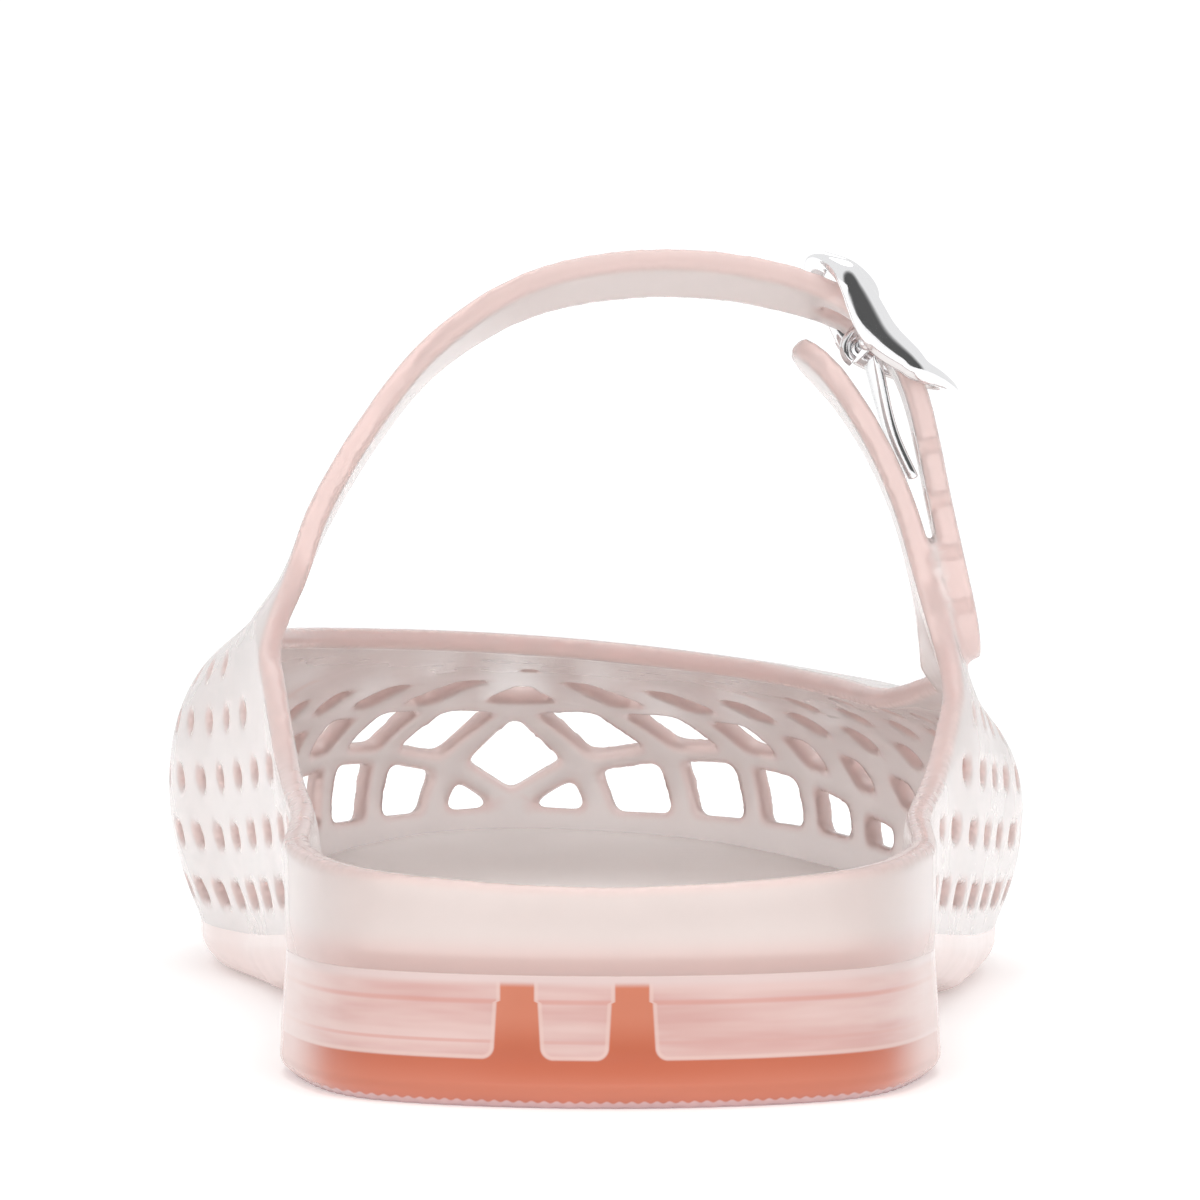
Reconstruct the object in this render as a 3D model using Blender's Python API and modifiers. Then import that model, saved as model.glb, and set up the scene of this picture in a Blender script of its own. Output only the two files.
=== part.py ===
"""Moulded jelly sandal for a right foot: a hollow lattice upper with its own instep strap and buckle
post, a sole with an open-topped heel, a thin insole, and a metal centre-bar buckle on the outer side.

Sizes in the tables are millimetres. Y runs from the back of the heel to the toe, +X is the outer side
of the foot and Z is up from the floor. The origin is on the floor under the middle of the heel seat.
"""

import math

import bmesh
import bpy
import numpy as np

MM = 0.001
HEEL_SEAT_Y = 30.0
GAP = 0.3

# Along the foot, as (y, z): the seat that the upper stands on, and the underside of the sole.
SEAT = (
    (0.0, 11.8), (30.0, 11.8), (55.0, 11.5), (80.0, 9.8), (103.0, 8.0), (125.0, 6.6),
    (155.0, 5.8), (185.0, 6.0), (212.0, 7.3), (230.0, 8.9), (246.0, 10.6),
)
HEEL_BREAST = (56.0, 58.0, 61.0)
TREAD = (
    (0.0, 0.0), (HEEL_BREAST[0], 0.0), (HEEL_BREAST[1], 4.2), (HEEL_BREAST[2], 5.0), (80.0, 4.5),
    (103.0, 2.2), (122.0, 0.0), (185.0, 0.0), (200.0, 0.4), (212.0, 1.2), (230.0, 2.7), (246.0, 4.6),
)
HEEL_END = 50.0
WAIST_END = 76.0

# Levels of the sole's side, from the seat down: how far inside the foot outline, and share of height.
SOLE_LEVEL_COLUMNS = ("heel_inset", "ball_inset", "height_share")
SOLE_LEVELS = (
    (0.0, 0.0, 1.0),
    (-0.3, 0.1, 0.62),
    (-0.5, 1.3, 0.28),
    (-0.3, 2.8, 0.09),
    (0.9, 5.0, 0.0),
)
SOLE_STATIONS = 36

INSOLE_INSET = 3.5
INSOLE_THICKNESS = 1.3

# Heel pockets, open at the top: the x that each may reach on its inner and outer side.
POCKET_WALL = 4.0
POCKET_FLOOR = 4.4
POCKET_TOP = 16.0
POCKET_FRONT = 52.0
POCKET_NARROWEST = 2.5
POCKETS = {
    "inner_pocket": (-40.0, -9.7),
    "middle_pocket": (-6.6, 0.4),
    "outer_pocket": (3.5, 40.0),
}

# One row for each rib of the last: where it stands on the sole edge, how its wall bellies out and up
# from there, how its brow stands off the straight line to the top, and where it reaches the top line.
WALL = 2.5
BROW_REACH = 0.9
RIB_COLUMNS = (
    "foot_x", "foot_y", "belly_out", "belly_up", "brow_out", "brow_up", "top_x", "top_y", "top_z",
)
RIBS = {
    "toe": (-13.0, 246.0, 4.0, 14.0, 0.0, -3.8, -8.0, 182.0, 37.8),
    "outer_toe_1": (0.0, 243.5, 4.0, 14.0, 0.0, -3.6, -2.0, 181.4, 37.3),
    "outer_toe_2": (12.0, 237.5, 4.0, 14.0, 0.0, -3.2, 4.0, 179.5, 36.7),
    "outer_toe_3": (23.0, 225.5, 4.0, 13.5, 1.0, -2.6, 11.0, 175.0, 35.9),
    "outer_toe_4": (32.0, 209.0, 4.5, 13.0, 2.0, -1.8, 18.0, 168.0, 35.0),
    "outer_ball_1": (40.5, 185.0, 5.0, 12.5, 4.0, -0.8, 25.0, 154.0, 33.8),
    "outer_ball_2": (44.0, 155.0, 6.0, 12.0, 5.5, 0.0, 30.5, 136.0, 33.0),
    "outer_post_front": (40.5, 125.0, 4.0, 11.0, 3.0, -4.0, 36.5, 117.5, 36.0),
    "outer_post_rear": (37.0, 103.0, 3.0, 10.0, 2.0, -6.0, 37.5, 104.0, 36.0),
    "outer_collar": (33.0, 80.0, 1.5, 6.0, 1.0, -4.0, 34.5, 83.0, 26.0),
    "outer_waist": (30.3, 55.0, 0.5, 3.0, 0.3, -2.5, 31.5, 57.0, 21.5),
    "outer_heel": (29.5, 28.0, 0.2, 2.5, 0.0, -2.5, 29.6, 28.0, 20.0),
    "outer_back": (22.0, 8.5, 0.0, 2.5, 0.0, -2.5, 22.0, 8.8, 19.7),
    "back": (0.0, 0.0, 0.0, 2.5, 0.0, -2.5, 0.0, 0.6, 19.6),
    "inner_back": (-22.0, 8.5, 0.0, 2.5, 0.0, -2.5, -22.0, 8.8, 19.7),
    "inner_heel": (-29.5, 28.0, 0.2, 2.5, 0.0, -2.5, -29.6, 28.0, 20.0),
    "inner_waist": (-29.8, 55.0, 0.5, 3.0, 0.3, -2.5, -31.5, 57.0, 21.7),
    "inner_collar": (-31.5, 80.0, 1.5, 6.0, 1.0, -4.0, -34.5, 83.0, 27.0),
    "inner_post_rear": (-35.5, 103.0, 3.0, 10.0, 2.0, -6.0, -37.5, 104.0, 40.0),
    "inner_post_front": (-39.5, 125.0, 5.0, 12.0, 4.0, -4.0, -38.5, 117.5, 41.0),
    "inner_ball_2": (-47.0, 158.0, 7.0, 14.0, 5.0, -1.6, -37.5, 140.0, 39.6),
    "inner_ball_1": (-47.5, 186.0, 5.0, 14.0, 4.0, -2.0, -34.0, 157.0, 39.3),
    "inner_toe_4": (-42.0, 212.0, 4.5, 14.0, 2.0, -2.8, -28.0, 168.0, 39.0),
    "inner_toe_3": (-35.0, 230.0, 4.0, 14.0, 1.0, -3.4, -22.0, 175.0, 38.7),
    "inner_toe_2": (-25.5, 241.5, 4.0, 14.0, 0.0, -3.7, -15.0, 179.6, 38.3),
}

# Lattice: ribs stand a pitch apart along the sole edge and lean to the toe as they climb. Each one
# crosses the middle of the vamp and runs back along the other side as a rail.
OUTER_PITCH = 12.3
INNER_PITCH = 11.0
RIB_LEAN = 1.3
LEAN_START = 0.5
RIB_HALF = 2.0
RAIL_HALF = 1.6
RAIL_FIRST_AT_TOE = 3.6
RAIL_STEP_AT_TOE = 19.4
RAIL_FIRST_AT_SIDE = 7.5
RAIL_STEP_AT_SIDE = 6.5
RAIL_FALL = 2.0
RAIL_SWELL = 7.6
RAIL_SWELL_AT = 2.6
RAIL_SWELL_REACH = 2.6
ROW_ENDS = (19, 15, 13, 11, 9)
SOLE_MARGIN = 3.0
MARGIN_SWELL = 1.8
MARGIN_SWELL_AT = 4.5
MARGIN_SWELL_REACH = 2.5
RIM_BAND = 3.5
SMALLEST_HOLE = 2.5
SHORTEST_SIDE = 0.7

# The upper laid flat is this high below the bands, and is cut along these lines to bend round the last.
FLAT_HEIGHT = 40.0
WALL_CUTS = (14.0, 26.0)
WALL_CUT_REACH = 205.0
BAND_CUT_START = 4.0
BAND_CUT_STEP = 5.0

# Middle lines of the strap and of the buckle post, as (x, z) in the plane across the instep.
STRAP_Y = 110.7
STRAP_WIDTH = 10.0
STRAP_TILT = math.radians(18.0)
FLARE_WIDTH = 5.5
FLARE_HEIGHT = 9.0
BASE_BLEND = 14.0
STRAP_PATH = (
    (-34.2, 45.0), (-31.2, 51.7), (-26.1, 60.4), (-19.1, 69.0), (-9.0, 75.4), (3.2, 77.8), (15.4, 77.0),
    (21.0, 75.6), (25.5, 73.7), (28.8, 71.2), (31.1, 68.2), (32.6, 64.6), (33.8, 59.8), (35.0, 53.8),
    (36.5, 47.0), (37.8, 41.0), (38.5, 36.6),
)
POST_PATH = ((35.0, 40.0), (33.3, 46.0), (31.2, 53.0), (28.0, 60.0), (24.0, 66.0), (19.8, 70.4))
STRAP_HOLE_RADIUS = 1.15
STRAP_HOLE_PITCH = 5.8
STRAP_HOLE_START = 4.5
STRAP_HOLES = 4
PRONG_SLOT_LENGTH = 6.5
PRONG_SLOT_WIDTH = 2.4
PRONG_SLOT_AHEAD = 3.2

# Buckle: where its bars cross the strap, as (x, z) in the plane across the instep.
FRAME_WIRE = 1.05
FRAME_HALF_WIDTH = 6.7
FRAME_CORNER = 1.4
TOP_BAR_BY = (20.9, 75.6)
MIDDLE_BAR_BY = (28.3, 71.7)
FOOT_BAR_BY = (32.8, 63.6)
BAR_RADIUS = 1.0
PRONG_WIRE = 0.75
CHAPE_WIDTH = 8.0
CHAPE_THICKNESS = 0.9
CHAPE_SEAT_LENGTH = 4.5
CHAPE_SEAT_BY = (28.5, 59.2)
CHAPE_CLEARANCE = 0.4

JELLY_COLOUR = (0.86, 0.62, 0.57, 1.0)
SOLE_COLOUR = (0.80, 0.38, 0.28, 1.0)
INSOLE_COLOUR = (0.80, 0.70, 0.62, 1.0)
METAL_COLOUR = (0.80, 0.80, 0.80, 1.0)


def ease(value, start, end):
    """Rises smoothly from 0 at start to 1 at end."""
    share = min(max((value - start) / (end - start), 0.0), 1.0)
    return share * share * (3.0 - 2.0 * share)


def hermite(start, end, slope_start, slope_end, gap, u):
    return (
        start * (1 + 2 * u) * (1 - u) ** 2
        + slope_start * gap * u * (1 - u) ** 2
        + end * u * u * (3 - 2 * u)
        + slope_end * gap * u * u * (u - 1)
    )


class Curve:
    """A smooth curve through rows, one knot for each; a closed one runs on from its last to its first."""

    def __init__(self, rows, knots, closed=False):
        self.rows = np.array(rows, float)
        self.knots = np.array(knots, float)
        self.closed = closed
        self.length = float(self.knots[-1] - self.knots[0])
        slopes = np.gradient(self.rows, self.knots, axis=0)
        if closed:
            span = self.knots[1] - self.knots[-2] + self.length
            slopes[0] = slopes[-1] = (self.rows[1] - self.rows[-2]) / span
        self.slopes = slopes

    def at(self, place):
        if self.closed:
            place = place % self.length
        place = min(max(place, self.knots[0]), self.knots[-1])
        i = min(int(np.searchsorted(self.knots, place, side="right")) - 1, len(self.knots) - 2)
        gap = self.knots[i + 1] - self.knots[i]
        u = (place - self.knots[i]) / gap
        return hermite(self.rows[i], self.rows[i + 1], self.slopes[i], self.slopes[i + 1], gap, u)


def chord_marks(points):
    steps = np.linalg.norm(np.diff(np.array(points, float), axis=0), axis=1)
    return np.concatenate([[0.0], np.cumsum(steps)])


SEAT_CURVE = Curve([[z] for _, z in SEAT], [y for y, _ in SEAT])
TREAD_PLACES = [y for y, _ in TREAD]


def seat_height(y):
    return float(SEAT_CURVE.at(y)[0])


def tread_height(y):
    return float(np.interp(y, TREAD_PLACES, [z for _, z in TREAD]))


# The last: its ribs in order, measured along the sole edge from the toe over the outer side.
RIB_ROWS = np.array([*RIBS.values(), RIBS["toe"]])
RIB_MARKS = chord_marks(RIB_ROWS[:, :2])
LAST = Curve(RIB_ROWS, RIB_MARKS, closed=True)
RIB_PLACE = dict(zip(RIBS, RIB_MARKS))
OUTER_BACK = float(RIB_PLACE["back"])
INNER_BACK = OUTER_BACK - LAST.length
POST_AT = (RIB_PLACE["outer_post_front"] + RIB_PLACE["outer_post_rear"]) / 2.0
STRAP_AT = (RIB_PLACE["inner_post_front"] + RIB_PLACE["inner_post_rear"]) / 2.0 - LAST.length


def outward_at(place):
    ahead = LAST.at(place + 0.5)[:2] - LAST.at(place - 0.5)[:2]
    across = np.array([-ahead[1], ahead[0]])
    return across / np.linalg.norm(across)


def wall_point(place, share):
    """A point of the upper's outer face: a share of the way from the sole edge to the top line."""
    rib = dict(zip(RIB_COLUMNS, LAST.at(place)))
    out = outward_at(place)
    foot = np.array([rib["foot_x"], rib["foot_y"], seat_height(rib["foot_y"])])
    top = np.array([rib["top_x"], rib["top_y"], rib["top_z"]])
    belly = foot + np.array([*(out * rib["belly_out"]), rib["belly_up"]])
    brow_plan = top[:2] + (foot[:2] - top[:2]) * BROW_REACH + out * rib["brow_out"]
    brow = np.array([*brow_plan, top[2] + rib["brow_up"]])
    left = 1.0 - share
    lower = foot * left ** 3 + 3 * belly * left ** 2 * share
    return lower + 3 * brow * left * share ** 2 + top * share ** 3


WALL_SHARES = np.linspace(0.0, 1.0, 25)


def wall_lengths(place):
    """Length of wall from the sole edge to each of the wall shares."""
    return chord_marks([wall_point(place, share) for share in WALL_SHARES])


class Band:
    """A strap that grows out of the top line at a place of the last and follows a path across the instep."""

    def __init__(self, place, path, facing, towards_toe):
        self.place = place
        self.facing = facing
        self.towards_toe = towards_toe
        top = LAST.at(place)[6:9]
        start = (top[0] - np.sign(top[0]) * WALL / 2.0, top[2])
        rough = np.array([start, *path])
        smooth = Curve(rough, chord_marks(rough))
        fine = np.array([smooth.at(mark) for mark in np.linspace(0.0, smooth.length, 240)])
        self.curve = Curve(fine, chord_marks(fine))
        self.fine = fine
        self.length = self.curve.length
        ahead = LAST.at(place + 1.0)[6:9] - LAST.at(place - 1.0)[6:9]
        self.spread = float(np.linalg.norm(ahead)) / 2.0

    def nearest(self, point):
        return float(self.curve.knots[np.argmin(np.linalg.norm(self.fine - np.array(point), axis=1))])

    def frame(self, along):
        """Middle, and the directions along, across and out of the band, at a length along it."""
        ahead = self.curve.at(along + 0.8) - self.curve.at(along - 0.8)
        run = np.array([ahead[0], 0.0, ahead[1]]) / np.linalg.norm(ahead)
        tilt = STRAP_TILT * run[0] ** 2
        side = np.array([0.0, math.cos(tilt), -math.sin(tilt)])
        side = side - run * side.dot(run)
        side = side / np.linalg.norm(side)
        x, z = self.curve.at(along)
        return np.array([x, STRAP_Y, z]), run, side, np.cross(run, side) * self.facing

    def point(self, along, across=0.0, lift=0.0, ahead=0.0):
        """A point by its length along the band, offset across, lift off the outer face and step ahead."""
        middle, run, side, out = self.frame(along)
        return middle + run * ahead + side * across + out * (WALL / 2.0 + lift)

    def wrapped(self, place, along):
        """The outer face above a place of the top line, blended into the wall at the base."""
        across = (place - self.place) * self.spread * self.towards_toe
        settle = 1.0 - ease(along, 0.0, BASE_BLEND)
        return self.point(along, across) + (LAST.at(place)[6:9] - self.point(0.0, across)) * settle


STRAP = Band(STRAP_AT, STRAP_PATH, 1.0, 1.0)
POST = Band(POST_AT, POST_PATH, -1.0, -1.0)
TOP_BAR_AT = STRAP.nearest(TOP_BAR_BY)
MIDDLE_BAR_AT = STRAP.nearest(MIDDLE_BAR_BY)
FOOT_BAR_AT = STRAP.nearest(FOOT_BAR_BY)
BAR_LIFT = FRAME_WIRE + GAP
MIDDLE_BAR_LIFT = -WALL - GAP - BAR_RADIUS


def upper_point(place, height):
    """Wraps a point of the flat pattern round the last, onto the outer face of the upper."""
    if height <= FLAT_HEIGHT:
        return wall_point(place, height / FLAT_HEIGHT)
    band = STRAP if place < 0.0 else POST
    return band.wrapped(place, height - FLAT_HEIGHT)


def crossing(rail, rib, pitch):
    """Where a rail crosses a rib of one side: along the sole edge from the toe, and up the wall."""
    if rail < 0:
        swell = math.exp(-((rib - MARGIN_SWELL_AT) / MARGIN_SWELL_REACH) ** 2)
        return pitch * rib, SOLE_MARGIN + MARGIN_SWELL * swell
    steps = rib - rail
    along = pitch * rib * (1.0 - ((rail + LEAN_START) / (rib + LEAN_START)) ** RIB_LEAN)
    at_toe = RAIL_FIRST_AT_TOE + RAIL_STEP_AT_TOE * rail
    at_side = RAIL_FIRST_AT_SIDE + RAIL_STEP_AT_SIDE * rail
    up = at_side + (at_toe - at_side) * math.exp(-steps / RAIL_FALL)
    swell = math.exp(-((steps - RAIL_SWELL_AT) / RAIL_SWELL_REACH) ** 2) if steps else 0.0
    return along, up + RAIL_SWELL * swell


def polygon_area(corners):
    ahead = np.roll(corners, -1, axis=0)
    return 0.5 * float(np.sum(corners[:, 0] * ahead[:, 1] - ahead[:, 0] * corners[:, 1]))


def shrink(corners, insets):
    """Moves each side of a polygon that turns left inwards by its own inset."""
    lines = []
    for i, start in enumerate(corners):
        run = corners[(i + 1) % len(corners)] - start
        run = run / np.linalg.norm(run)
        lines.append((start + np.array([-run[1], run[0]]) * insets[i], run))
    moved = []
    for i in range(len(lines)):
        (p, r), (q, s) = lines[i - 1], lines[i]
        cross = r[0] * s[1] - r[1] * s[0]
        ahead = ((q - p)[0] * s[1] - (q - p)[1] * s[0]) / cross
        moved.append(p + r * ahead)
    return np.array(moved)


def lattice_hole(nodes, insets):
    """One hole of the lattice as a polygon on the flat pattern, or None where the strips leave no room."""
    corners = np.array(nodes, float)
    middle = corners.mean(axis=0)
    share = float(np.interp(middle[1], wall_lengths(middle[0]), WALL_SHARES))
    ahead = wall_point(middle[0] + 1.0, share) - wall_point(middle[0] - 1.0, share)
    spread = float(np.linalg.norm(ahead)) / 2.0
    corners[:, 0] *= spread
    if polygon_area(corners) < 0.0:
        corners = np.roll(corners[::-1], 1, axis=0)
        insets = insets[::-1]
    lengths = [wall_lengths(along / spread) for along in corners[:, 0]]
    ceilings = np.array([marks[-1] - RIM_BAND + RAIL_HALF for marks in lengths])
    corners[:, 1] = np.minimum(corners[:, 1], ceilings)
    sides = np.linalg.norm(np.roll(corners, -1, axis=0) - corners, axis=1)
    if polygon_area(corners) < 3.0 * SMALLEST_HOLE or sides.min() < 1.0:
        return None
    hole = shrink(corners, insets)
    before = np.roll(corners, -1, axis=0) - corners
    after = np.roll(hole, -1, axis=0) - hole
    if (before * after).sum(axis=1).min() <= 0.0 or polygon_area(hole) < SMALLEST_HOLE:
        return None
    if np.linalg.norm(after, axis=1).min() < SHORTEST_SIDE:
        return None
    flat = []
    for along, up in hole:
        share = float(np.interp(up, wall_lengths(along / spread), WALL_SHARES))
        flat.append((along / spread, share * FLAT_HEIGHT))
    return flat


def lattice_holes():
    """Every hole of the lattice: diamonds up the middle of the vamp, then the rows of each side."""
    holes = []
    for rail in range(len(ROW_ENDS) - 1):
        outer, inner = [crossing(rail, rail + 1, pitch) for pitch in (OUTER_PITCH, -INNER_PITCH)]
        low, high = [crossing(level, level, OUTER_PITCH) for level in (rail, rail + 1)]
        holes.append(lattice_hole([low, outer, high, inner], [RIB_HALF] * 4))
    for pitch in (OUTER_PITCH, -INNER_PITCH):
        for rail, end in enumerate(ROW_ENDS, start=-1):
            for rib in range(rail + 1, end):
                foot_rail = max(rail, 0) if rib == 0 else rail
                nodes = [crossing(foot_rail, rib, pitch), crossing(rail, rib + 1, pitch)]
                nodes.append(crossing(rail + 1, rib + 1, pitch))
                insets = [RAIL_HALF if rail >= 0 else 0.0, RIB_HALF, RAIL_HALF]
                if rail + 1 <= rib and rib > 0:
                    nodes.append(crossing(rail + 1, rib, pitch))
                    insets.append(RIB_HALF)
                holes.append(lattice_hole(nodes, insets))
    return [hole for hole in holes if hole]


def band_outline(band):
    """A strap's edge on the flat pattern: flared where it leaves the top line and round at its tip."""
    half = STRAP_WIDTH / 2.0
    edge = [(half + FLARE_WIDTH * (1.0 - u) ** 2, FLARE_HEIGHT * u) for u in np.linspace(0.0, 1.0, 5)]
    for turn in np.linspace(0.0, math.pi / 2, 4):
        edge.append((half * math.cos(turn), band.length - half + half * math.sin(turn)))
    rising = [(band.place - x / band.spread, FLAT_HEIGHT + up) for x, up in edge]
    falling = [(band.place + x / band.spread, FLAT_HEIGHT + up) for x, up in edge[:-1]]
    return rising + falling[::-1]


def pattern_outline():
    """The upper laid flat, from the back round the inner side and the toe to the back again."""
    bands = band_outline(STRAP) + band_outline(POST)
    top = [(INNER_BACK, FLAT_HEIGHT), *bands, (OUTER_BACK, FLAT_HEIGHT)]
    return [(OUTER_BACK, 0.0), (INNER_BACK, 0.0), *top]


def strap_openings():
    """The prong's slot and the round holes of the strap's free end, on the flat pattern."""
    slot_middle = MIDDLE_BAR_AT - PRONG_SLOT_AHEAD
    half_width = PRONG_SLOT_WIDTH / 2.0
    half_length = PRONG_SLOT_LENGTH / 2.0
    shapes = [[
        (half_width, slot_middle - half_length), (half_width, slot_middle + half_length),
        (-half_width, slot_middle + half_length), (-half_width, slot_middle - half_length),
    ]]
    for k in range(STRAP_HOLES):
        middle = FOOT_BAR_AT + STRAP_HOLE_START + k * STRAP_HOLE_PITCH
        shapes.append([
            (STRAP_HOLE_RADIUS * math.cos(turn), middle + STRAP_HOLE_RADIUS * math.sin(turn))
            for turn in np.linspace(0.0, 2.0 * math.pi, 8, endpoint=False)
        ])
    return [[(STRAP_AT + x / STRAP.spread, FLAT_HEIGHT + up) for x, up in shape] for shape in shapes]


def to_metres(point):
    x, y, z = point
    return (x * MM, (y - HEEL_SEAT_Y) * MM, z * MM)


def material(name, colour, roughness, metallic):
    made = bpy.data.materials.new(name)
    made.use_nodes = True
    shader = made.node_tree.nodes["Principled BSDF"]
    shader.inputs["Base Color"].default_value = colour
    shader.inputs["Roughness"].default_value = roughness
    shader.inputs["Metallic"].default_value = metallic
    return made


def mesh_from(bm, name):
    bmesh.ops.recalc_face_normals(bm, faces=bm.faces)
    mesh = bpy.data.meshes.new(name)
    bm.to_mesh(mesh)
    bm.free()
    return mesh


def add_part(mesh, collection, finish):
    made = bpy.data.objects.new(mesh.name, mesh)
    mesh.materials.append(finish)
    collection.objects.link(made)
    return made


def add_cutter(mesh, collection):
    made = bpy.data.objects.new(mesh.name, mesh)
    made.hide_render = True
    made.display_type = "WIRE"
    collection.objects.link(made)
    return made


def boolean(target, other, operation):
    step = target.modifiers.new(other.name, "BOOLEAN")
    step.operation = operation
    step.solver = "EXACT"
    step.object = other


class Outline:
    """The foot outline moved inwards, by one amount at the heel and another from the waist on."""

    def __init__(self, heel_inset, ball_inset):
        points = []
        for place in np.linspace(0.0, LAST.length, 720, endpoint=False):
            x, y = LAST.at(place)[:2]
            inset = heel_inset + (ball_inset - heel_inset) * ease(y, HEEL_END, WAIST_END)
            points.append(np.array([x, y]) - outward_at(place) * inset)
        points = np.array(points)
        points = np.roll(points, -int(np.argmax(points[:, 1])), axis=0)
        heel = int(np.argmin(points[:, 1]))
        self.outer = points[:heel + 1][::-1]
        self.inner = np.vstack([points[heel:], points[:1]])
        self.back = float(points[heel, 1])
        self.front = float(points[0, 1])

    def sides(self, y):
        """The x of the inner and of the outer side at y."""
        inner = np.interp(y, self.inner[:, 1], self.inner[:, 0])
        return float(inner), float(np.interp(y, self.outer[:, 1], self.outer[:, 0]))


def station_shares(count):
    """Shares of the length for sections, closer together at both ends and just inside them."""
    shares = [0.5 * (1.0 - math.cos(math.pi * k / count)) for k in range(count + 1)]
    return [0.0001, *shares[1:-1], 0.9999]


def loft(name, rings):
    """A closed solid through rings of points."""
    bm = bmesh.new()
    loops = [[bm.verts.new(to_metres(point)) for point in ring] for ring in rings]
    for near, far in zip(loops, loops[1:]):
        for i in range(len(near)):
            j = (i + 1) % len(near)
            bm.faces.new((near[i], near[j], far[j], far[i]))
    bm.faces.new(loops[0][::-1])
    bm.faces.new(loops[-1])
    return mesh_from(bm, name)


def make_sole(parts, cutters):
    levels = [dict(zip(SOLE_LEVEL_COLUMNS, row)) for row in SOLE_LEVELS]
    outlines = [Outline(level["heel_inset"], level["ball_inset"]) for level in levels]
    seat = outlines[0]
    breast = [(y - seat.back) / (seat.front - seat.back) for y in HEEL_BREAST]
    rings = []
    for share in sorted(station_shares(SOLE_STATIONS) + breast):
        inner_side = []
        outer_side = []
        for level, outline in zip(levels, outlines):
            y = outline.back + (outline.front - outline.back) * share
            inner, outer = outline.sides(y)
            low, high = tread_height(y), seat_height(y) - GAP
            z = low + (high - low) * level["height_share"]
            inner_side.append((inner, y, z))
            outer_side.append((outer, y, z))
        rings.append(outer_side + inner_side[::-1])
    sole = add_part(loft("outsole", rings), parts, material("sole_jelly", SOLE_COLOUR, 0.25, 0.0))

    inside = Outline(POCKET_WALL, POCKET_WALL)
    for name, (inner_x, outer_x) in POCKETS.items():
        reach = []
        for y in np.linspace(inside.back, POCKET_FRONT, 160):
            inner, outer = inside.sides(y)
            left, right = max(inner, inner_x), min(outer, outer_x)
            if right - left > POCKET_NARROWEST:
                reach.append((y, left, right))
        rings = []
        for y, left, right in reach[::12] + reach[-1:]:
            walls = [(right, POCKET_TOP), (right, POCKET_FLOOR), (left, POCKET_FLOOR), (left, POCKET_TOP)]
            rings.append([(x, y, z) for x, z in walls])
        boolean(sole, add_cutter(loft(name, rings), cutters), "DIFFERENCE")


def make_insole(parts):
    outline = Outline(INSOLE_INSET, INSOLE_INSET)
    rings = []
    for share in station_shares(SOLE_STATIONS):
        y = outline.back + (outline.front - outline.back) * share
        inner, outer = outline.sides(y)
        low = seat_height(y)
        high = low + INSOLE_THICKNESS
        rings.append([(outer, y, high), (outer, y, low), (inner, y, low), (inner, y, high)])
    add_part(loft("insole", rings), parts, material("insole_sheet", INSOLE_COLOUR, 0.6, 0.0))


def cut_lines(bm, places, axis, reach=None):
    """Cuts the flat pattern along lines across one axis, where the other coordinate lies within reach."""
    for place in places:
        faces = bm.faces
        if reach is not None:
            faces = [face for face in bm.faces if abs(face.calc_center_median()[1 - axis]) < reach]
        geometry = {piece for face in faces for piece in (*face.verts, *face.edges, face)}
        point = [0.0, 0.0, 0.0]
        point[axis] = place
        normal = [0.0, 0.0, 0.0]
        normal[axis] = 1.0
        bmesh.ops.bisect_plane(bm, geom=list(geometry), dist=0.02, plane_co=point, plane_no=normal)


def make_upper(parts):
    bm = bmesh.new()
    edges = []
    for polygon in [pattern_outline(), *lattice_holes(), *strap_openings()]:
        points = [bm.verts.new((along, up, 0.0)) for along, up in polygon]
        edges += [bm.edges.new((points[i - 1], points[i])) for i in range(len(points))]
    bmesh.ops.triangle_fill(bm, edges=edges, use_beauty=True, normal=(0.0, 0.0, 1.0))
    cut_lines(bm, np.arange(INNER_BACK + 8.0, OUTER_BACK - 4.0, OUTER_PITCH), 0)
    cut_lines(bm, [FLAT_HEIGHT], 1)
    cut_lines(bm, WALL_CUTS, 1, reach=WALL_CUT_REACH)
    longest = FLAT_HEIGHT + max(STRAP.length, POST.length)
    cut_lines(bm, np.arange(FLAT_HEIGHT + BAND_CUT_START, longest, BAND_CUT_STEP), 1)
    for vert in bm.verts:
        vert.co = to_metres(upper_point(vert.co.x, vert.co.y))
    bmesh.ops.remove_doubles(bm, verts=bm.verts, dist=2e-5)
    bmesh.ops.recalc_face_normals(bm, faces=bm.faces)
    back_face = min(bm.faces, key=lambda face: face.calc_center_median().y)
    inside_out = back_face.normal.y > 0.0
    mesh = bpy.data.meshes.new("upper")
    bm.to_mesh(mesh)
    bm.free()
    upper = add_part(mesh, parts, material("jelly", JELLY_COLOUR, 0.25, 0.0))
    wall = upper.modifiers.new("wall", "SOLIDIFY")
    wall.thickness = WALL * MM
    wall.offset = 1.0 if inside_out else -1.0


def wire(name, points, radius, closed, collection):
    """A round wire along points, as a closed mesh."""
    curve = bpy.data.curves.new(name, "CURVE")
    curve.dimensions = "3D"
    curve.bevel_depth = radius * MM
    curve.bevel_resolution = 2
    curve.use_fill_caps = not closed
    spline = curve.splines.new("POLY")
    spline.points.add(len(points) - 1)
    spline.use_cyclic_u = closed
    for place, point in zip(spline.points, points):
        place.co = (*to_metres(point), 1.0)
    guide = bpy.data.objects.new(f"{name}_line", curve)
    collection.objects.link(guide)
    graph = bpy.context.evaluated_depsgraph_get()
    rough = bpy.data.meshes.new_from_object(guide.evaluated_get(graph))
    bm = bmesh.new()
    bm.from_mesh(rough)
    bmesh.ops.remove_doubles(bm, verts=bm.verts, dist=1e-6)
    bpy.data.objects.remove(guide)
    bpy.data.meshes.remove(rough)
    return mesh_from(bm, name)


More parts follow.
